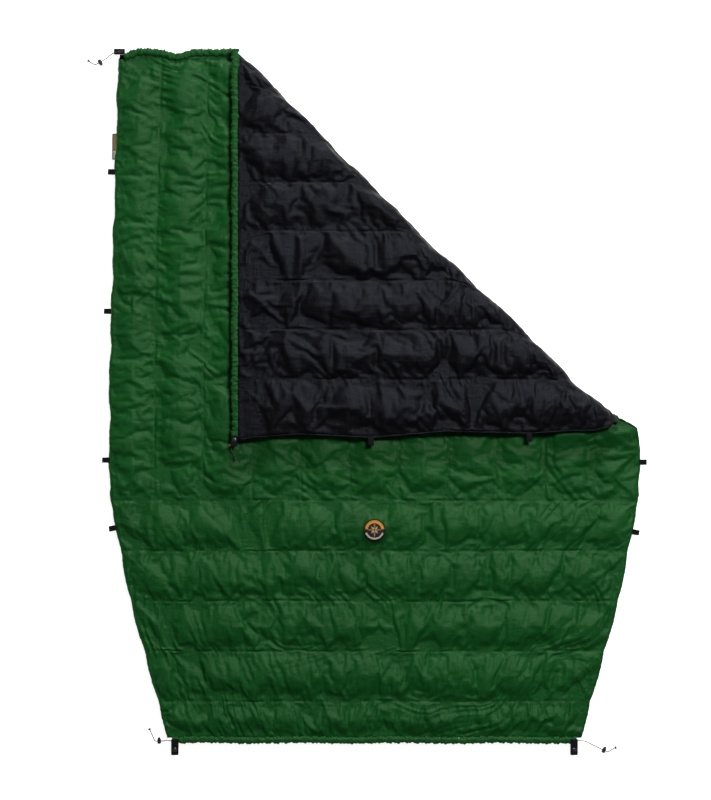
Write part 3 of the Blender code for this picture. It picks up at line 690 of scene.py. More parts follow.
def gathers(u, v, distance, seed):
    """Height of the ridges that run off the seams and of the slack creases between them."""
    lean = 0.55 + 0.35 * ripple(u * 5, v * 5, seed + 9)
    bend = 0.02 * ripple(u * 9, v * 9, seed + 8)
    across = v + lean * u + bend  # ridges off the long seams climb inwards
    along = u - lean * v + bend
    share = ease((CROSS - v) / 0.02 + 0.5)
    long = share * folds(along * 38, v * 9, seed) + (1 - share) * folds(across * 38, u * 9, seed + 1)
    short = (share * folds(along * 95, v * 20, seed + 2)
             + (1 - share) * folds(across * 95, u * 20, seed + 3))
    rim = ease(distance / 0.004)
    strength = 0.65 + 0.5 * ripple(u * 6, v * 6, seed + 4)
    low = 0.0052 * long * np.exp(-(distance / 0.042) ** 2) * strength
    fine = 0.0028 * short * np.exp(-(distance / 0.014) ** 2)
    slanted = folds((u + 0.5 * v) * 13, (v - 0.5 * u) * 5, seed + 5)
    crossed = folds((v - 0.8 * u) * 11, (u + 0.8 * v) * 4, seed + 6)
    return rim * (low + fine + 0.0016 * np.minimum(slanted, crossed))


FINE_U, FINE_V = finer(U[..., None])[..., 0], finer(V[..., None])[..., 0]
FINE_DISTANCE = seam_distance(FINE_U, FINE_V)
SHELL_MOVE = finer(SHELL_CLOTH_GRID - np.stack([U, V, 0 * U], -1))
LINING_MOVE = finer(LINING_CLOTH_GRID - np.stack([U, V, 0 * U], -1))
UNDER_MOVE = SHELL_MOVE[:, ::-1] * (-1, 1, 1)  # the underside is like the shell seen in a mirror
SHELL_GATHERS = gathers(FINE_U, FINE_V, FINE_DISTANCE, 101)
LINING_GATHERS = gathers(FINE_U, FINE_V, FINE_DISTANCE, 201)
print("fine grid", FINE_U.shape)

# %% [markdown]
# ## Outlines
#
# The quilt tapers from the hips to the foot. The folded corner's hem is drawn in where it
# lies on the quilt. At the right end of the fold the hem curves inwards to the fold's tip.

# %% Hems as formulas
SIDE = [(FOOT_HEM, 0.572), (-0.557, 0.682), (-0.257, 0.740), (0.073, 0.740), (HEAD_HEM, 0.714)]
CORNER_TURN = [(-0.147, 0.7400), (-0.1434, 0.7433), (-0.0918, 0.7356), (-0.0715, 0.7290),
               (-0.0536, 0.6959), (-0.0460, 0.6810)]
FOLDED_HEM = [(-0.398, -0.1100), (-0.340, -0.0990), (-0.209, -0.0900), (-0.010, -0.0995),
              (0.200, -0.0820), (0.430, -0.0880), (0.550, -0.0800), (0.610, -0.0790),
              (0.655, -0.0690), (0.681, -0.0555)]
LINING_TURN = [(-0.1434, 0.7433), (-0.0943, 0.7331), (-0.0707, 0.7297), (-0.0398, 0.7097),
               (-0.0246, 0.7023), (0.0030, 0.7271)]
LINING_SHIFT = 0.0877  # how much further the lining runs round the outside of the fold
BELOW_TURN = SIDE[:3]  # the right hem up to where it turns in to the fold
FOOT_CHAMBER = 0.1405  # from one cross seam to the next


def on_line(stations, at):
    xs, ys = zip(*sorted(stations))
    return np.interp(at, xs, ys)


def scallops(v):
    """The rim bulges a little between the foot's cross seams and waves along the body."""
    foot = np.abs(np.sin(math.pi * (v - CROSS) / FOOT_CHAMBER)) ** 0.7 * 0.0055 - 0.0035
    body = 0.0018 * np.sin(v * 31) + 0.0014 * np.sin(v * 67 + 1)
    share = ease((CROSS - v) / 0.05)
    return foot * share + body * (1 - share)


def head_wave(x):
    """The head hem dips where its drawcord gathers slack cloth."""
    return (-0.0135 * np.exp(-((x + 0.547) / 0.035) ** 2) + 0.0015 * np.sin(x * 46)
            - 0.012 * ease((-0.655 - x) / 0.05)) * ease((-0.30 - x) / 0.06)


def left_hem(v):
    return on_line(SIDE, v) + scallops(v)


def right_hem(v):
    return on_line(BELOW_TURN + CORNER_TURN, v) + scallops(v) * (v < -0.15)


def folded_hem(x):
    return on_line(FOLDED_HEM, x)


def corner_hem(v):
    """The folded corner's hem, as it lies once the corner is opened."""
    return CREASE - folded_hem(CREASE - v)


def lining_hem(v):
    """The lining's right hem in flat cloth, from the foot up, round the fold and along the corner."""
    shift = CREASE + LINING_SHIFT
    top = [(shift - x, shift - y) for x, y in FOLDED_HEM]
    return on_line(BELOW_TURN + CORNER_TURN[:1] + LINING_TURN + top, v) + scallops(v) * (v < -0.15)


print("left hem at the hips", round(float(left_hem(-0.2)), 4))

# %% [markdown]
# The tip of the fold isn't a straight line: it bulges towards its right end. The curve is
# given along the crease, from the head hem at its low end to the side hem at its high end.

# %% The fold's tip
BULGE = [(-0.97, 0.0), (-0.17, 0.0), (-0.08, 0.006), (0.05, 0.009), (0.20, 0.012), (0.37, 0.010),
         (0.45, 0.020), (0.514, 0.026), (0.566, 0.045), (0.63, 0.045)]
DIAGONAL = math.sqrt(2)


def across_fold(x, y):
    """Distance beyond the crease."""
    return (x + y - CREASE) / DIAGONAL


def along_fold(x, y):
    return (x - y) / DIAGONAL


def from_fold(beyond, along):
    half = CREASE / 2
    return half + (beyond + along) / DIAGONAL, half + (beyond - along) / DIAGONAL


def bulge(along):
    return on_line(BULGE, along)


print("fold bulges", round(float(bulge(0.5)) * 1000), "mm near its right end")

# %% [markdown]
# ## Place the cloth
#
# Each grid point gets a flat place between the hems and a height. Seams lie low, chambers
# rise to the model's loft, and towards a hem the cloth rounds over to the side seam at
# mid-height.

# %% Stretch the grid between the hems
SEAM_SWAY = 0.0022
SLIP = 0.8  # share of the simulated sideways movement that is kept


def swayed(u, v, seed):
    """Seams that wander a little, as sewn ones do."""
    inside = ease((HALF - np.abs(u)) / 0.05) * ease((v - FOOT) / 0.05) * ease((HEAD - v) / 0.05)
    return (u + inside * SEAM_SWAY * ripple(u * 4, v * 7, seed),
            v + inside * SEAM_SWAY * ripple(u * 7, v * 4, seed + 1))


def between_hems(u, v, left, right):
    """Moves the outermost body chambers to the hems, and scales the foot to its taper."""
    last = SEAMS_X[-1]
    hem = np.where(u > 0, right, left)
    outermost = last + (np.abs(u) - last) / (HALF - last) * (hem - last)
    body = np.where(np.abs(u) <= last, u, np.sign(u) * outermost)
    drawn_in = u * (1 + (hem / HALF - 1) * ease(-u / 0.4))  # the head's drawcord shortens it
    body = body + (drawn_in - body) * ease(-u / 0.05) * ease((v + 0.1) / 0.9)
    share = ease((CROSS - v) / 0.16)
    return body * (1 - share) + u * hem / HALF * share


def limited(height, most):
    """Height that levels off softly before it reaches the most it may be."""
    s = np.maximum(height, 0) / most
    return most * s / (1 + s ** 3) ** (1 / 3) + np.minimum(height, 0)


def rounded(distance, radius):
    """A quarter round: 0 at the hem, 1 at the radius and beyond."""
    s = np.clip(distance / radius, 0, 1)
    return np.sqrt(1 - (1 - s) ** 2)


print("ready to place", FINE_U.size, "points")

# %% One mesh from a grid


def grid_mesh(name, points, flat, keep):
    """A mesh of the grid's kept faces, with the flat cloth's metres as its UV map."""
    high, wide = keep.shape[0] + 1, keep.shape[1] + 1
    index = np.arange(high * wide).reshape(high, wide)
    faces = quads(index)[keep]
    used, renumbered = np.unique(faces, return_inverse=True)
    faces = renumbered.reshape(-1, 4)
    mesh = bpy.data.meshes.new(name)
    mesh.from_pydata(points.reshape(-1, 3)[used].tolist(), [], faces.tolist())
    layer = mesh.uv_layers.new(name="UVMap")
    layer.data.foreach_set("uv", flat.reshape(-1, 2)[used][faces.reshape(-1)].reshape(-1))
    mesh.update()
    return mesh


def face_middles(values):
    return (values[:-1, :-1] + values[1:, :-1] + values[:-1, 1:] + values[1:, 1:]) / 4


# %% [markdown]
# ### Shell
#
# The shell is two pieces that meet at the crease. The larger lies face up. It ends just
# inside the fold's tip, and in the fold it stays high, so that nothing of the lining shows
# through it when the corner is opened. The smaller is made as it lies when open and is then
# turned over.

# %% Where the round patch lies
patch_low, patch_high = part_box("round_patch")
PATCH = (patch_low + patch_high) / 2
RADIUS = (patch_high.x - patch_low.x) / 2
PATCH_DOME = LOFT - 0.0003
DOME_FALL = 2.4  # the dome drops by this times the squared distance from its middle
print("patch", round(RADIUS * 2000), "mm wide at", round(PATCH.y, 3))

# %% Shell of the lying part
SEAM_Z = 0.0225
CREST = 0.0215  # how far a chamber rises above its seams
PUFF = 0.84  # share of the simulated height that is kept
PILLOW = 0.12 + 0.88 * rounded(FINE_DISTANCE, 0.068)  # down rounds a chamber from seam to seam
FOLD_INSIDE = 0.005  # how far inside the fold's tip the lying shell ends
FOLD_HEIGHT = 0.041  # the least height of the shell at the crease
SKIN = 0.0008  # the least height of the cloth over the layer below


def shell_surface(left, right, rim, fold_height):
    """Places the shell flat. rim gives the hem's height and fold_height lifts it at the fold."""
    u, v = swayed(FINE_U, FINE_V, 51)
    x = between_hems(u, v, left(v), right(v)) + SHELL_MOVE[..., 0] * SLIP
    y = v + SHELL_MOVE[..., 1] * SLIP + head_wave(x) * ease((v - 0.86) / (HEAD - 0.86))
    hem = np.where(x > 0, right(v), left(v)) - np.abs(x)
    distance = np.minimum(hem, np.minimum(v - FOOT, HEAD - v))
    hem_z = rim(x, y)
    seam_z = hem_z + np.maximum(SEAM_Z - hem_z, 0) * rounded(distance, 0.03)
    z = seam_z + limited(SHELL_MOVE[..., 2] * PUFF * PILLOW, CREST)
    z = z + SHELL_GATHERS * rounded(distance, 0.02)
    from_patch = np.hypot(x - PATCH.x, y - PATCH.y)
    calm = np.exp(-(from_patch / 0.036) ** 6)  # a sewn patch keeps the cloth under it smooth
    z = z * (1 - calm) + (PATCH_DOME - DOME_FALL * from_patch ** 2) * calm
    z = np.where(distance > 0.001, np.maximum(z, MIDDLE + SKIN), z)  # never through the lining
    covered = ease((x + 0.385) / 0.03) * ease((y + 0.095) / 0.03)  # two layers lie on each other here
    z = z + (MIDDLE + limited(z - MIDDLE, MIDDLE) - z) * covered
    lift = ease(1 - np.abs(fold_height(x, y)) / 0.03)
    z = z + (np.maximum(z, FOLD_HEIGHT) - z) * lift
    return np.stack([x, y, z], axis=-1)


def lying_rim(x, y):
    """The lying shell's hem, which climbs to the fold's height at the corner."""
    turn = ease((y + 0.147) / 0.1) * (x > 0.5)
    return MIDDLE + (LOFT - MIDDLE) * turn


def tip_distance(x, y):
    """How far a point is inside the shell's edge at the fold."""
    along = along_fold(x, y)
    corner = 0.015 * ease((along - 0.455) / 0.06)  # at the side hem the shell shows beyond the lining
    return bulge(along) + corner - FOLD_INSIDE - across_fold(x, y)


def trimmed(surface, inside, outwards):
    """Draws points past an edge along the crease back to it, and says which faces stay."""
    surface[..., :2] += (outwards * np.minimum(inside, 0) / DIAGONAL)[..., None]
    return face_middles(inside) > 0


lying = shell_surface(left_hem, right_hem, lying_rim, tip_distance)
keep = trimmed(lying, tip_distance(lying[..., 0], lying[..., 1]), 1)
FLAT_UV = np.stack([FINE_U, FINE_V], axis=-1)
shell_lying = wear_on("shell_lying", grid_mesh("shell_lying", lying, FLAT_UV, keep), SHELL_CLOTH, "quilt")
print("lying shell:", len(shell_lying.data.polygons), "faces")

# %% Shell of the folded corner
opened = shell_surface(left_hem, corner_hem, lambda x, y: MIDDLE + 0 * x, across_fold)
keep = trimmed(opened, across_fold(opened[..., 0], opened[..., 1]), -1)
turned = np.stack([CREASE - opened[..., 1], CREASE - opened[..., 0], 2 * LOFT - opened[..., 2]], axis=-1)
shell_folded = wear_on("shell_folded", grid_mesh("shell_folded", turned, FLAT_UV, keep), SHELL_CLOTH,
                       "corner_flap")
print("folded shell:", len(shell_folded.data.polygons), "faces")

# %% [markdown]
# ### Lining
#
# The lining is one piece. Under the quilt it is pressed flat on the ground, with shallow
# valleys at its seams. Round the fold it wraps the full thickness of two layers, and on top
# of the folded corner it is as full as the shell. Because it runs round the outside, its
# seams land further from the fold than the shell's.

# %% Wrap the lining round the fold
NOSE = 0.038  # the wrap's round part starts this far inside the tip
UNDER_SEAM, UNDER_CREST = 0.0370, 0.0066  # pressed flat by the ground
LINING_HEAD = [(-0.4337, HEAD), (-0.2386, CREASE + LINING_SHIFT + 0.380)]

u, v = swayed(FINE_U, FINE_V, 61)
x = between_hems(u, v, left_hem(v), lining_hem(v))
rise = ease((v - 0.50) / (HEAD - 0.50)) * (on_line(LINING_HEAD, x) - HEAD)
y = v + rise
x = between_hems(u, v, left_hem(v), lining_hem(y))
rough_q, rough_t = across_fold(x, y), along_fold(x, y)
start = bulge(rough_t) - NOSE
upper = ease((rough_q - start + 0.04) / 0.08)[..., None]
move = UNDER_MOVE * (1 - upper) + LINING_MOVE * upper
x, y = x + move[..., 0] * SLIP, y + move[..., 1] * SLIP
q, t = across_fold(x, y), along_fold(x, y)
start = bulge(t) - NOSE
arc = LINING_SHIFT * DIAGONAL - 2 * start  # flat cloth that the round part takes
turn = np.clip((q - start) / arc, 0, 1)
hem = np.where(x > 0, lining_hem(y), left_hem(v)) - np.abs(x)
edge = np.minimum(np.minimum(hem, v - FOOT), HEAD - v)
fullness = limited(move[..., 2] * PUFF * PILLOW, CREST) / CREST
top = ease(turn * 1.6)
seam_depth = UNDER_SEAM * (1 - top) + SEAM_Z * top
crest = UNDER_CREST * (1 - top) + CREST * top
depth = MIDDLE + (seam_depth - MIDDLE) * rounded(edge, 0.03) + crest * fullness
depth = depth + LINING_GATHERS * rounded(edge, 0.02) * (0.12 + 0.63 * top)
depth = np.where(edge > 0.001, np.maximum(depth, MIDDLE + SKIN), depth)
reach = NOSE + 0.001 + 0.010 * fullness
past = np.where(turn <= 0, q, np.where(turn < 1, start + reach * np.sin(math.pi * turn),
                                        LINING_SHIFT * DIAGONAL - q))
wrapped_x, wrapped_y = from_fold(past, t)
wrapped = np.stack([wrapped_x, wrapped_y, LOFT - depth * np.cos(math.pi * turn)], axis=-1)
everywhere = np.ones((FINE_U.shape[0] - 1, FINE_U.shape[1] - 1), bool)
lining = wear_on("lining", grid_mesh("lining", wrapped, FLAT_UV[..., ::-1], everywhere), LINING_CLOTH)
print("lining:", len(lining.data.polygons), "faces, lowest", round(float(wrapped[..., 2].min()), 5), "m")

# %% Hide the model's cloth, baffles and down
body_nodes = [n for n in frame["nodes"] if n.startswith(("down_body", "down_foot"))]
flap_nodes = [n for n in frame["nodes"] if n.startswith("down_flap")]
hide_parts("shell_main", "baffles_main", *body_nodes)
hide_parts("shell_flap", "baffles_flap", *flap_nodes)
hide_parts("lining_main", "lining_flap")
LOFT - 0.008
LOFT + 0.008
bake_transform(lining)
print("cloth stands for", 4 + len(body_nodes) + len(flap_nodes), "nodes and the baffles")

# %% [markdown]
# ## Drawcord channels
#
# At the head and foot the cloth is turned over into a narrow channel for the drawcord. The
# cord is a little shorter than the cloth, so a channel is rucked all the way along: small
# lumps and pleats with no set spacing. Each is a flat tube whose surface is pushed in and out
# by random waves of that size.

# %% Rucked channels
NECK_Y = MOUTHS["neck_left"][1]
FOOT_Y = MOUTHS["foot_left"][1]


def rucked(name, path, across, up, look, body, seed, lump=0.0012):
    """A channel of gathered cloth round its cord."""
    wide = [across * (1 + 0.22 * math.sin(i * 0.9) * math.sin(i * 0.37 + seed))
            for i in range(len(path))]
    made = tube(name, path, wide, up, look, body, sides=16, girth=2 * math.pi * across)
    count = len(made.data.vertices)
    place, normal = np.empty(count * 3), np.empty(count * 3)
    made.data.vertices.foreach_get("co", place)
    made.data.vertex_normals.foreach_get("vector", normal)
    place, normal = place.reshape(-1, 3), normal.reshape(-1, 3)
    x, y, z = place.T
    push = (ripple(x * 170 + z * 90, y * 170 - z * 60, seed)
            + 0.6 * ripple(x * 380, y * 380 + z * 200, seed + 1))
    place = place + normal * (push * lump)[:, None]
    made.data.vertices.foreach_set("co", place.reshape(-1))
    made.data.update()
    return made


neck_path = [(x, NECK_Y - 0.0022 + float(head_wave(x)), CHANNEL_Z)
             for x in np.arange(-0.700, -0.397, 0.0018)]
foot_path = [(x, FOOT_Y + 0.0022 + 0.0012 * math.sin(x * 23), CHANNEL_Z)
             for x in np.arange(-0.566, 0.5665, 0.0022)]
folded_path = [(CREASE - NECK_Y + 0.0018 - 0.0012 * math.sin(y * 37), y, 2 * LOFT - CHANNEL_Z + 0.0015)
               for y in np.arange(-0.096, 0.9795, 0.0020)]
channels = [rucked("neck_channel", neck_path, 0.0102, 0.0050, SHELL_CLOTH, "quilt", 7),
            rucked("foot_channel", foot_path, 0.0095, 0.0050, SHELL_CLOTH, "quilt", 8),
            rucked("folded_channel", folded_path, 0.0105, 0.0040, SHELL_CLOTH, "corner_flap", 9, 0.0017)]
print("channels:", sum(len(channel.data.polygons) for channel in channels), "faces")

# %% [markdown]
# ## Side hems
#
# Shell and lining are joined along the sides by a narrow rolled seam at mid-height. It is a
# thin tube along the hem, and it hides the two edges of cloth.

# %% Rolled seams
ROLL = 0.0019


def hem_roll(name, path, look, body):
    made = rucked(name, smooth(path, 0.004), ROLL, ROLL, look, body, 21, lump=0.0005)
    return made


down_left = [(-float(left_hem(v)), v, MIDDLE) for v in np.linspace(FOOT, HEAD - 0.01, 90)]
up_right = [(float(right_hem(v)), v, float(lying_rim(float(right_hem(v)), v)))
            for v in np.linspace(FOOT, -0.048, 70)]
round_corner = [(x, float(folded_hem(x)) - 0.0005, 2 * LOFT - MIDDLE)
                for x in np.linspace(-0.375, 0.655, 90)]
rolls = [hem_roll("left_hem_roll", down_left, SHELL_CLOTH, "quilt"),
         hem_roll("right_hem_roll", up_right, SHELL_CLOTH, "quilt"),
         hem_roll("folded_hem_roll", round_corner, LINING_CLOTH, "corner_flap")]
print(len(rolls), "rolled seams")

# %% [markdown]
# ## Stitches
#
# A lockstitch seam is a row of short thread loops. One stitch is a small stretched ball. A
# Geometry Nodes tree walks along every seam line, sets points 3.6 mm apart, lays a stitch
# along the line at each of them and gives them their thread. Long thin pieces made of
# thousands of equal shapes are best made this way.

# %% The sewing tree


def sewing_tree():
    tree = bpy.data.node_groups.new("sewing", "GeometryNodeTree")
    for name, kind in (("Lines", "NodeSocketGeometry"), ("Spacing", "NodeSocketFloat"),
                       ("Length", "NodeSocketFloat"), ("Thickness", "NodeSocketFloat"),
                       ("Thread", "NodeSocketMaterial")):
        tree.interface.new_socket(name=name, in_out="INPUT", socket_type=kind)
    tree.interface.new_socket(name="Stitches", in_out="OUTPUT", socket_type="NodeSocketGeometry")
    kinds = {"given": "NodeGroupInput", "curve": "GeometryNodeMeshToCurve",
             "walk": "GeometryNodeResampleCurve", "ball": "GeometryNodeMeshIcoSphere",
             "size": "ShaderNodeCombineXYZ", "stretch": "GeometryNodeTransform",
             "heading": "GeometryNodeInputTangent", "turn": "FunctionNodeAlignRotationToVector",
             "lay": "GeometryNodeInstanceOnPoints", "real": "GeometryNodeRealizeInstances",
             "thread": "GeometryNodeSetMaterial", "result": "NodeGroupOutput"}
    nodes = {name: tree.nodes.new(kind) for name, kind in kinds.items()}
    nodes["walk"].mode, nodes["turn"].axis = "LENGTH", "X"
    nodes["ball"].inputs["Radius"].default_value = 0.5
    for link in ("given.Lines > curve.Mesh", "curve.Curve > walk.Curve", "given.Spacing > walk.Length",
                 "given.Length > size.X", "given.Thickness > size.Y", "given.Thickness > size.Z",
                 "ball.Mesh > stretch.Geometry", "size.Vector > stretch.Scale",
                 "walk.Curve > lay.Points", "stretch.Geometry > lay.Instance",
                 "heading.Tangent > turn.Vector", "turn.Rotation > lay.Rotation",
                 "lay.Instances > real.Geometry", "real.Geometry > thread.Geometry",
                 "given.Thread > thread.Material", "thread.Geometry > result.Stitches"):
        (giver, output), (taker, taken) = (end.split(".") for end in link.split(" > "))
        tree.links.new(nodes[giver].outputs[output], nodes[taker].inputs[taken])
    return tree


SEWING = sewing_tree()


def sewn(name, lines, thread, spacing=0.0036, length=0.0027, thickness=0.0007, body=None):
    """Runs the sewing tree over polylines and keeps its result as a plain mesh."""
    points, edges = [], []
    for line in lines:
        edges += [(len(points) + i, len(points) + i + 1) for i in range(len(line) - 1)]
        points += [tuple(p) for p in line]
    drawn = bpy.data.meshes.new(name + " lines")
    drawn.from_pydata(points, edges, [])
    holder = bpy.data.objects.new(name + " lines", drawn)
    bpy.context.scene.collection.objects.link(holder)
    modifier = holder.modifiers.new("sewing", "NODES")
    modifier.node_group = SEWING
    wanted = {"Spacing": spacing, "Length": length, "Thickness": thickness, "Thread": thread}
    for item in SEWING.interface.items_tree:
        if item.in_out == "INPUT" and item.name in wanted:
            modifier[item.identifier] = wanted[item.name]
    evaluated = holder.evaluated_get(bpy.context.evaluated_depsgraph_get())
    mesh = bpy.data.meshes.new_from_object(evaluated)
    bpy.data.objects.remove(holder)
    return wear_on(name, mesh, thread, body)


print("sewing tree has", len(SEWING.nodes), "nodes")

# %% Seam lines from the placed cloth


def runs(line, wanted):
    """The parts of a polyline whose points are wanted."""
    turns = np.flatnonzero(np.diff(np.concatenate([[0], wanted, [0]])))
    return [line[a:b] for a, b in zip(turns[::2], turns[1::2]) if b - a > 1]


def seam_lines(surface, wanted, lift):
    """Every seam of a placed surface, raised a little along z. Its grid has doubled steps."""
    up = surface + np.array([0, 0, lift])
    lines = []
    for column in SEAM_COLUMNS:
        lines += runs(up[2 * CROSS_ROW:, 2 * column], wanted[2 * CROSS_ROW:, 2 * column])
    for row in SEAM_ROWS:
        lines += runs(up[2 * row], wanted[2 * row])
    return lines


on_lying = tip_distance(lying[..., 0], lying[..., 1]) > 0.012
on_top = (wrapped[..., 2] > LOFT + 0.02) & (turn >= 1)
under = (wrapped[..., 2] < LOFT - 0.02) & (turn <= 0)
shell_seams = sewn("shell_seams", seam_lines(lying, on_lying, 0.0006), GREEN_THREAD, body="quilt")
top_seams = sewn("corner_seams", seam_lines(wrapped, on_top, 0.0006), BLACK_THREAD, body="corner_flap")
under_seams = sewn("underside_seams", seam_lines(wrapped, under, -0.0002), BLACK_THREAD, body="quilt")
for piece in (shell_seams, top_seams, under_seams):
    print(piece.name, len(piece.data.polygons), "faces")

# %% [markdown]
# ## Bartacks
#
# Loops and tabs end in a bartack: a dense zigzag across the tape. Here it is the same sewing
# tree over a zigzag line, with fine stitches close together.

# %% Zigzags on loops and tabs


def zigzag(centre, across, step, count):
    """A zigzag about a point: across is its full width as a vector and step its advance."""
    centre, across, step = Vector(centre), Vector(across), Vector(step)
    return [centre + across * (0.5 if i % 2 else -0.5) + step * (i - count / 2) for i in range(count + 1)]


def bartack(node, inwards):
    """Zigzag on top of a loop or tab, near its end that lies towards the quilt."""
    low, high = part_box(node)
    inwards = Vector(inwards)
    long = 0 if inwards.x else 1
    centre, across = (low + high) / 2, Vector()
    centre[long] = (high if inwards[long] > 0 else low)[long] - inwards[long] * 0.0030
    centre.z = high.z + 0.0001
    across[1 - long] = (high[1 - long] - low[1 - long]) * 0.55
    return zigzag(centre, across, inwards * 0.0004, 12)


quilt_tacks = [bartack(f"pad_loop_left_{number}", (1, 0, 0)) for number in (1, 2, 3, 4)]
quilt_tacks += [bartack(f"pad_loop_right_{number}", (-1, 0, 0)) for number in (1, 2)]
quilt_tacks += [bartack(f"foot_tab_{side}", (0, 1, 0)) for side in ("left", "right")]
corner_tacks = [bartack(f"pad_loop_right_{number}", (0, 1, 0)) for number in (3, 4)]
for body, lines in (("quilt", quilt_tacks), ("corner_flap", corner_tacks)):
    tacks = sewn(f"bartacks_{body}", lines, CHARCOAL_THREAD, 0.0011, 0.0013, 0.0005, body)
    print(tacks.name, len(tacks.data.polygons), "faces")

# %% [markdown]
# ## The round patch
#
# A woven disc with an overlocked rim is sewn to the middle of the first foot chamber. It lies
# on the puffy cloth and follows its swell. The badge is a plain compass star over an amber
# band: nothing on it stands for a maker.

# %% A disc on the shell


def patch_height(x, y):
    """The same dome that the cloth follows under the patch, just above it."""
    return PATCH_DOME + 0.0012 - DOME_FALL * ((x - PATCH.x) ** 2 + (y - PATCH.y) ** 2)


def on_patch(radius, angle, lift):
    x, y = PATCH.x + radius * math.cos(angle), PATCH.y + radius * math.sin(angle)
    return Vector((x, y, patch_height(x, y) + lift))


def join_loops(bm, loops):
    """Faces between each closed loop of points and the next."""
    for inner, outer in zip(loops, loops[1:]):
        for k in range(len(inner)):
            m = (k + 1) % len(inner)
            bm.faces.new((inner[k], outer[k], outer[m], inner[m]))


def disc(name, radius, thickness, lift, look, rings=14, sides=72):
    """A round sheet over the dome, closed underneath."""
    bm = bmesh.new()
    rims = []
    for height in (lift + thickness, lift):
        centre = bm.verts.new(on_patch(0, 0, height))
        loops = [[bm.verts.new(on_patch(radius * r / rings, 2 * math.pi * k / sides, height))
                  for k in range(sides)] for r in range(1, rings + 1)]
        for k in range(sides):
            bm.faces.new((centre, loops[0][k], loops[0][(k + 1) % sides]))
        join_loops(bm, loops)
        rims.append(loops[-1])
    join_loops(bm, rims)
    bmesh.ops.recalc_face_normals(bm, faces=bm.faces)
    return wear_on(name, bm, look, "quilt")


ground = disc("patch_ground", RADIUS - 0.0008, 0.0009, -0.0009, CHARCOAL_THREAD)
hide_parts("round_patch")

# %% The star, the band and the rim


def filled(name, first, last, inner, outer, look):
    """Satin stitch: thread lines side by side over a band, from one angle and radius to another."""
    lines = [[on_patch(RADIUS * r, angle, 0.0004) for r in np.linspace(inner, outer, 5)]
             for angle in np.arange(first, last, 0.030)]
    return sewn(name, lines, look, 0.0016, 0.0024, 0.00085, "quilt")


band = filled("patch_band", 0.10, math.pi - 0.10, 0.66, 0.87, AMBER_THREAD)
low_band = filled("patch_low_band", math.pi + 0.35, 2 * math.pi - 0.35, 0.78, 0.87, PALE_THREAD)


def star(name, outer, first, lift, look):
    """A star of four points, each a lozenge of crosswise stitches that ends in one along it."""
    lines = []
    for k in range(4):
        tip = first + math.pi * k / 2
        for share in np.linspace(0.0, 1.0, 9):
            spread = (1 - share) * math.pi / 4
            reach = RADIUS * (0.10 + (outer - 0.10) * share)
            ends = ((reach, -0.45 * spread), (reach, 0.45 * spread))
            if spread * reach <= 0.0006:
                ends = ((reach * 0.9, 0), (reach, 0))
            lines.append([on_patch(radius, tip + angle, lift) for radius, angle in ends])
    return sewn(name, lines, look, 0.0011, 0.0018, 0.0009, "quilt")


long_star = star("patch_star", 0.60, math.pi / 2, 0.0005, AMBER_THREAD)
short_star = star("patch_small_star", 0.40, math.pi / 4, 0.0004, PALE_THREAD)
rim_lines = [[on_patch(RADIUS - 0.0022, a, 0.0005), on_patch(RADIUS - 0.0003, a + 0.010, 0.0003),
              on_patch(RADIUS + 0.0002, a + 0.012, -0.0008)] for a in np.arange(0, 2 * math.pi, 0.026)]
rim = sewn("patch_rim", rim_lines, BLACK_THREAD, 0.0013, 0.0019, 0.0010, "quilt")
stitched = (band, low_band, long_star, short_star, rim)
print("patch stitches:", sum(len(piece.data.polygons) for piece in stitched), "faces")

# %% [markdown]
# ## The side label
#
# A small woven label is caught in the left hem near the head. It has a black border, a golden
# field over its upper two thirds and a pale one below. A few raised bars stand for its woven
# marks. Its fields are ribbed sheets on a black base.

# %% Ribbed fields on a base
label_low, label_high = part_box("side_label")
LABEL_RIB, LABEL_STEP = 0.0016, 0.0008


def ribbed_sheet(name, low, high, z, thickness, look):
    """A closed sheet whose top has fine ribs across the label."""
    nx, ny = (max(2, int((high[i] - low[i]) / LABEL_STEP)) for i in (0, 1))
    bm = bmesh.new()
    rims = []
    for top in (True, False):
        grid = []
        for j in range(ny + 1):
            y = low[1] + (high[1] - low[1]) * j / ny
            wave = 0.00012 * math.sin(2 * math.pi * y / LABEL_RIB) * (0 < j < ny)
            grid.append([bm.verts.new((low[0] + (high[0] - low[0]) * i / nx, y,
                                       z + top * (thickness + wave * (0 < i < nx))))
                         for i in range(nx + 1)])
        for row, next_row in zip(grid, grid[1:]):
            for i in range(nx):
                bm.faces.new((row[i], row[i + 1], next_row[i + 1], next_row[i]))
        rims.append([*grid[0], *[row[-1] for row in grid[1:]], *grid[-1][-2::-1],
                     *[row[0] for row in grid[-2:0:-1]]])
    join_loops(bm, rims)
    bmesh.ops.recalc_face_normals(bm, faces=bm.faces)
    made = wear_on(name, bm, look, "quilt")
    return made


left, bottom, seat = label_low
right, top_end = label_high.x, label_high.y
split = bottom + (top_end - bottom) * 0.36
base = ribbed_sheet("label_base", (left, bottom), (right, top_end), seat, 0.0008, BLACK_THREAD)
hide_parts("side_label")
golden = ribbed_sheet("label_gold", (left + 0.0022, split), (right - 0.001, top_end - 0.0030),
                      seat + 0.0007, 0.0004, GOLD_THREAD)
pale = ribbed_sheet("label_pale", (left + 0.0022, bottom + 0.0030), (right - 0.001, split - 0.0012),
                    seat + 0.0007, 0.0004, BONE_THREAD)
bars = [[(left + 0.0035, y, seat + 0.0013), (left + reach, y, seat + 0.0013)]
        for y, reach in zip(np.arange(bottom + 0.006, split - 0.003, 0.0036),
                            (0.0090, 0.0065, 0.0090, 0.0055, 0.0080))]
label_bars = sewn("label_bars", bars, CHARCOAL_THREAD, 0.0009, 0.0014, 0.0009, "quilt")
print("label fields", golden.name, pale.name)

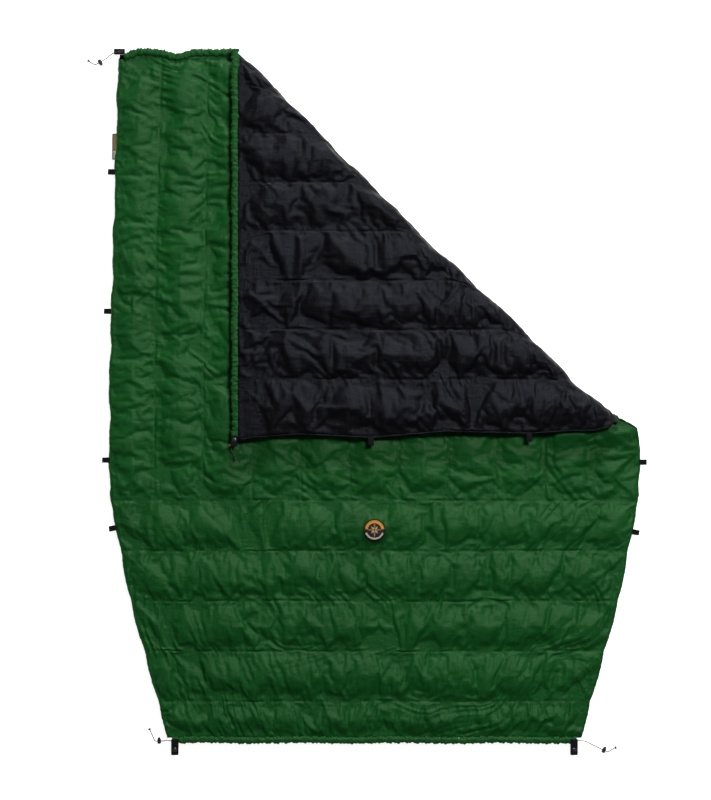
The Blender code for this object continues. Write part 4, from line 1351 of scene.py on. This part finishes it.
# %% [markdown]
# ## Finishes for the model's own hard parts
#
# Loops, tabs, press studs and cord locks keep the model's exact shapes, because other parts
# have to fit them. Each gets its finish.

# %% Dress the hard parts
LOOKS = {"lock_": BLACK_PLASTIC, "snap": SNAP_PLASTIC, "tab": WEBBING, "pad_loop_right_3": TAPE_ALONG_Y,
         "pad_loop_right_4": TAPE_ALONG_Y, "pad_loop": TAPE_ALONG_X, "cord": GREY_CORD}
for node, piece in frame["nodes"].items():
    look = next((LOOKS[word] for word in LOOKS if word in node), None)
    if look:
        piece.data.materials.clear()
        piece.data.materials.append(look)
print("hard parts dressed")

# %% [markdown]
# ## Floor and light
#
# The floor is plain and pale. Light comes mainly from the head side, low enough to draw every
# gather, with a broad fill from above.

# %% Floor, lamps and sky
FLOOR_REACH, FLOOR_Z = 60.0, -0.0006
floor_finish = Finish("pale floor", Roughness=0.9, Specular_IOR_Level=0.1, Base_Color=rgb(0.90, 0.90, 0.90),
                      Emission_Color=rgb(1.0, 1.0, 1.0), Emission_Strength=0.90)
floor_mesh = bpy.data.meshes.new("floor")
floor_mesh.from_pydata([(x * FLOOR_REACH, y * FLOOR_REACH, FLOOR_Z)
                        for x, y in ((-1, -1), (1, -1), (1, 1), (-1, 1))], [], [(0, 1, 2, 3)])
floor = wear_on("floor", floor_mesh, floor_finish.material)


def lamp(name, place, size, power):
    """A round lamp that looks at the quilt's middle."""
    light = bpy.data.lights.new(name, "AREA")
    light.shape, light.size, light.energy = "DISK", size, power
    made = bpy.data.objects.new(name, light)
    made.location = place
    made.rotation_euler = (-Vector(place)).to_track_quat("-Z", "Y").to_euler()
    bpy.context.scene.collection.objects.link(made)


lamp("key", (1.3, 1.7, 4.7), 1.0, 185)
lamp("rake", (0.8, 9.0, 3.9), 1.4, 700)
world = bpy.data.worlds.new("sky")
world.use_nodes = True
sky = world.node_tree.nodes["Background"].inputs
sky["Color"].default_value, sky["Strength"].default_value = rgb(1.0, 1.0, 1.0), 0.08
bpy.context.scene.world = world
bpy.context.scene.view_settings.view_transform = "Standard"
print("floor and lamps in place")
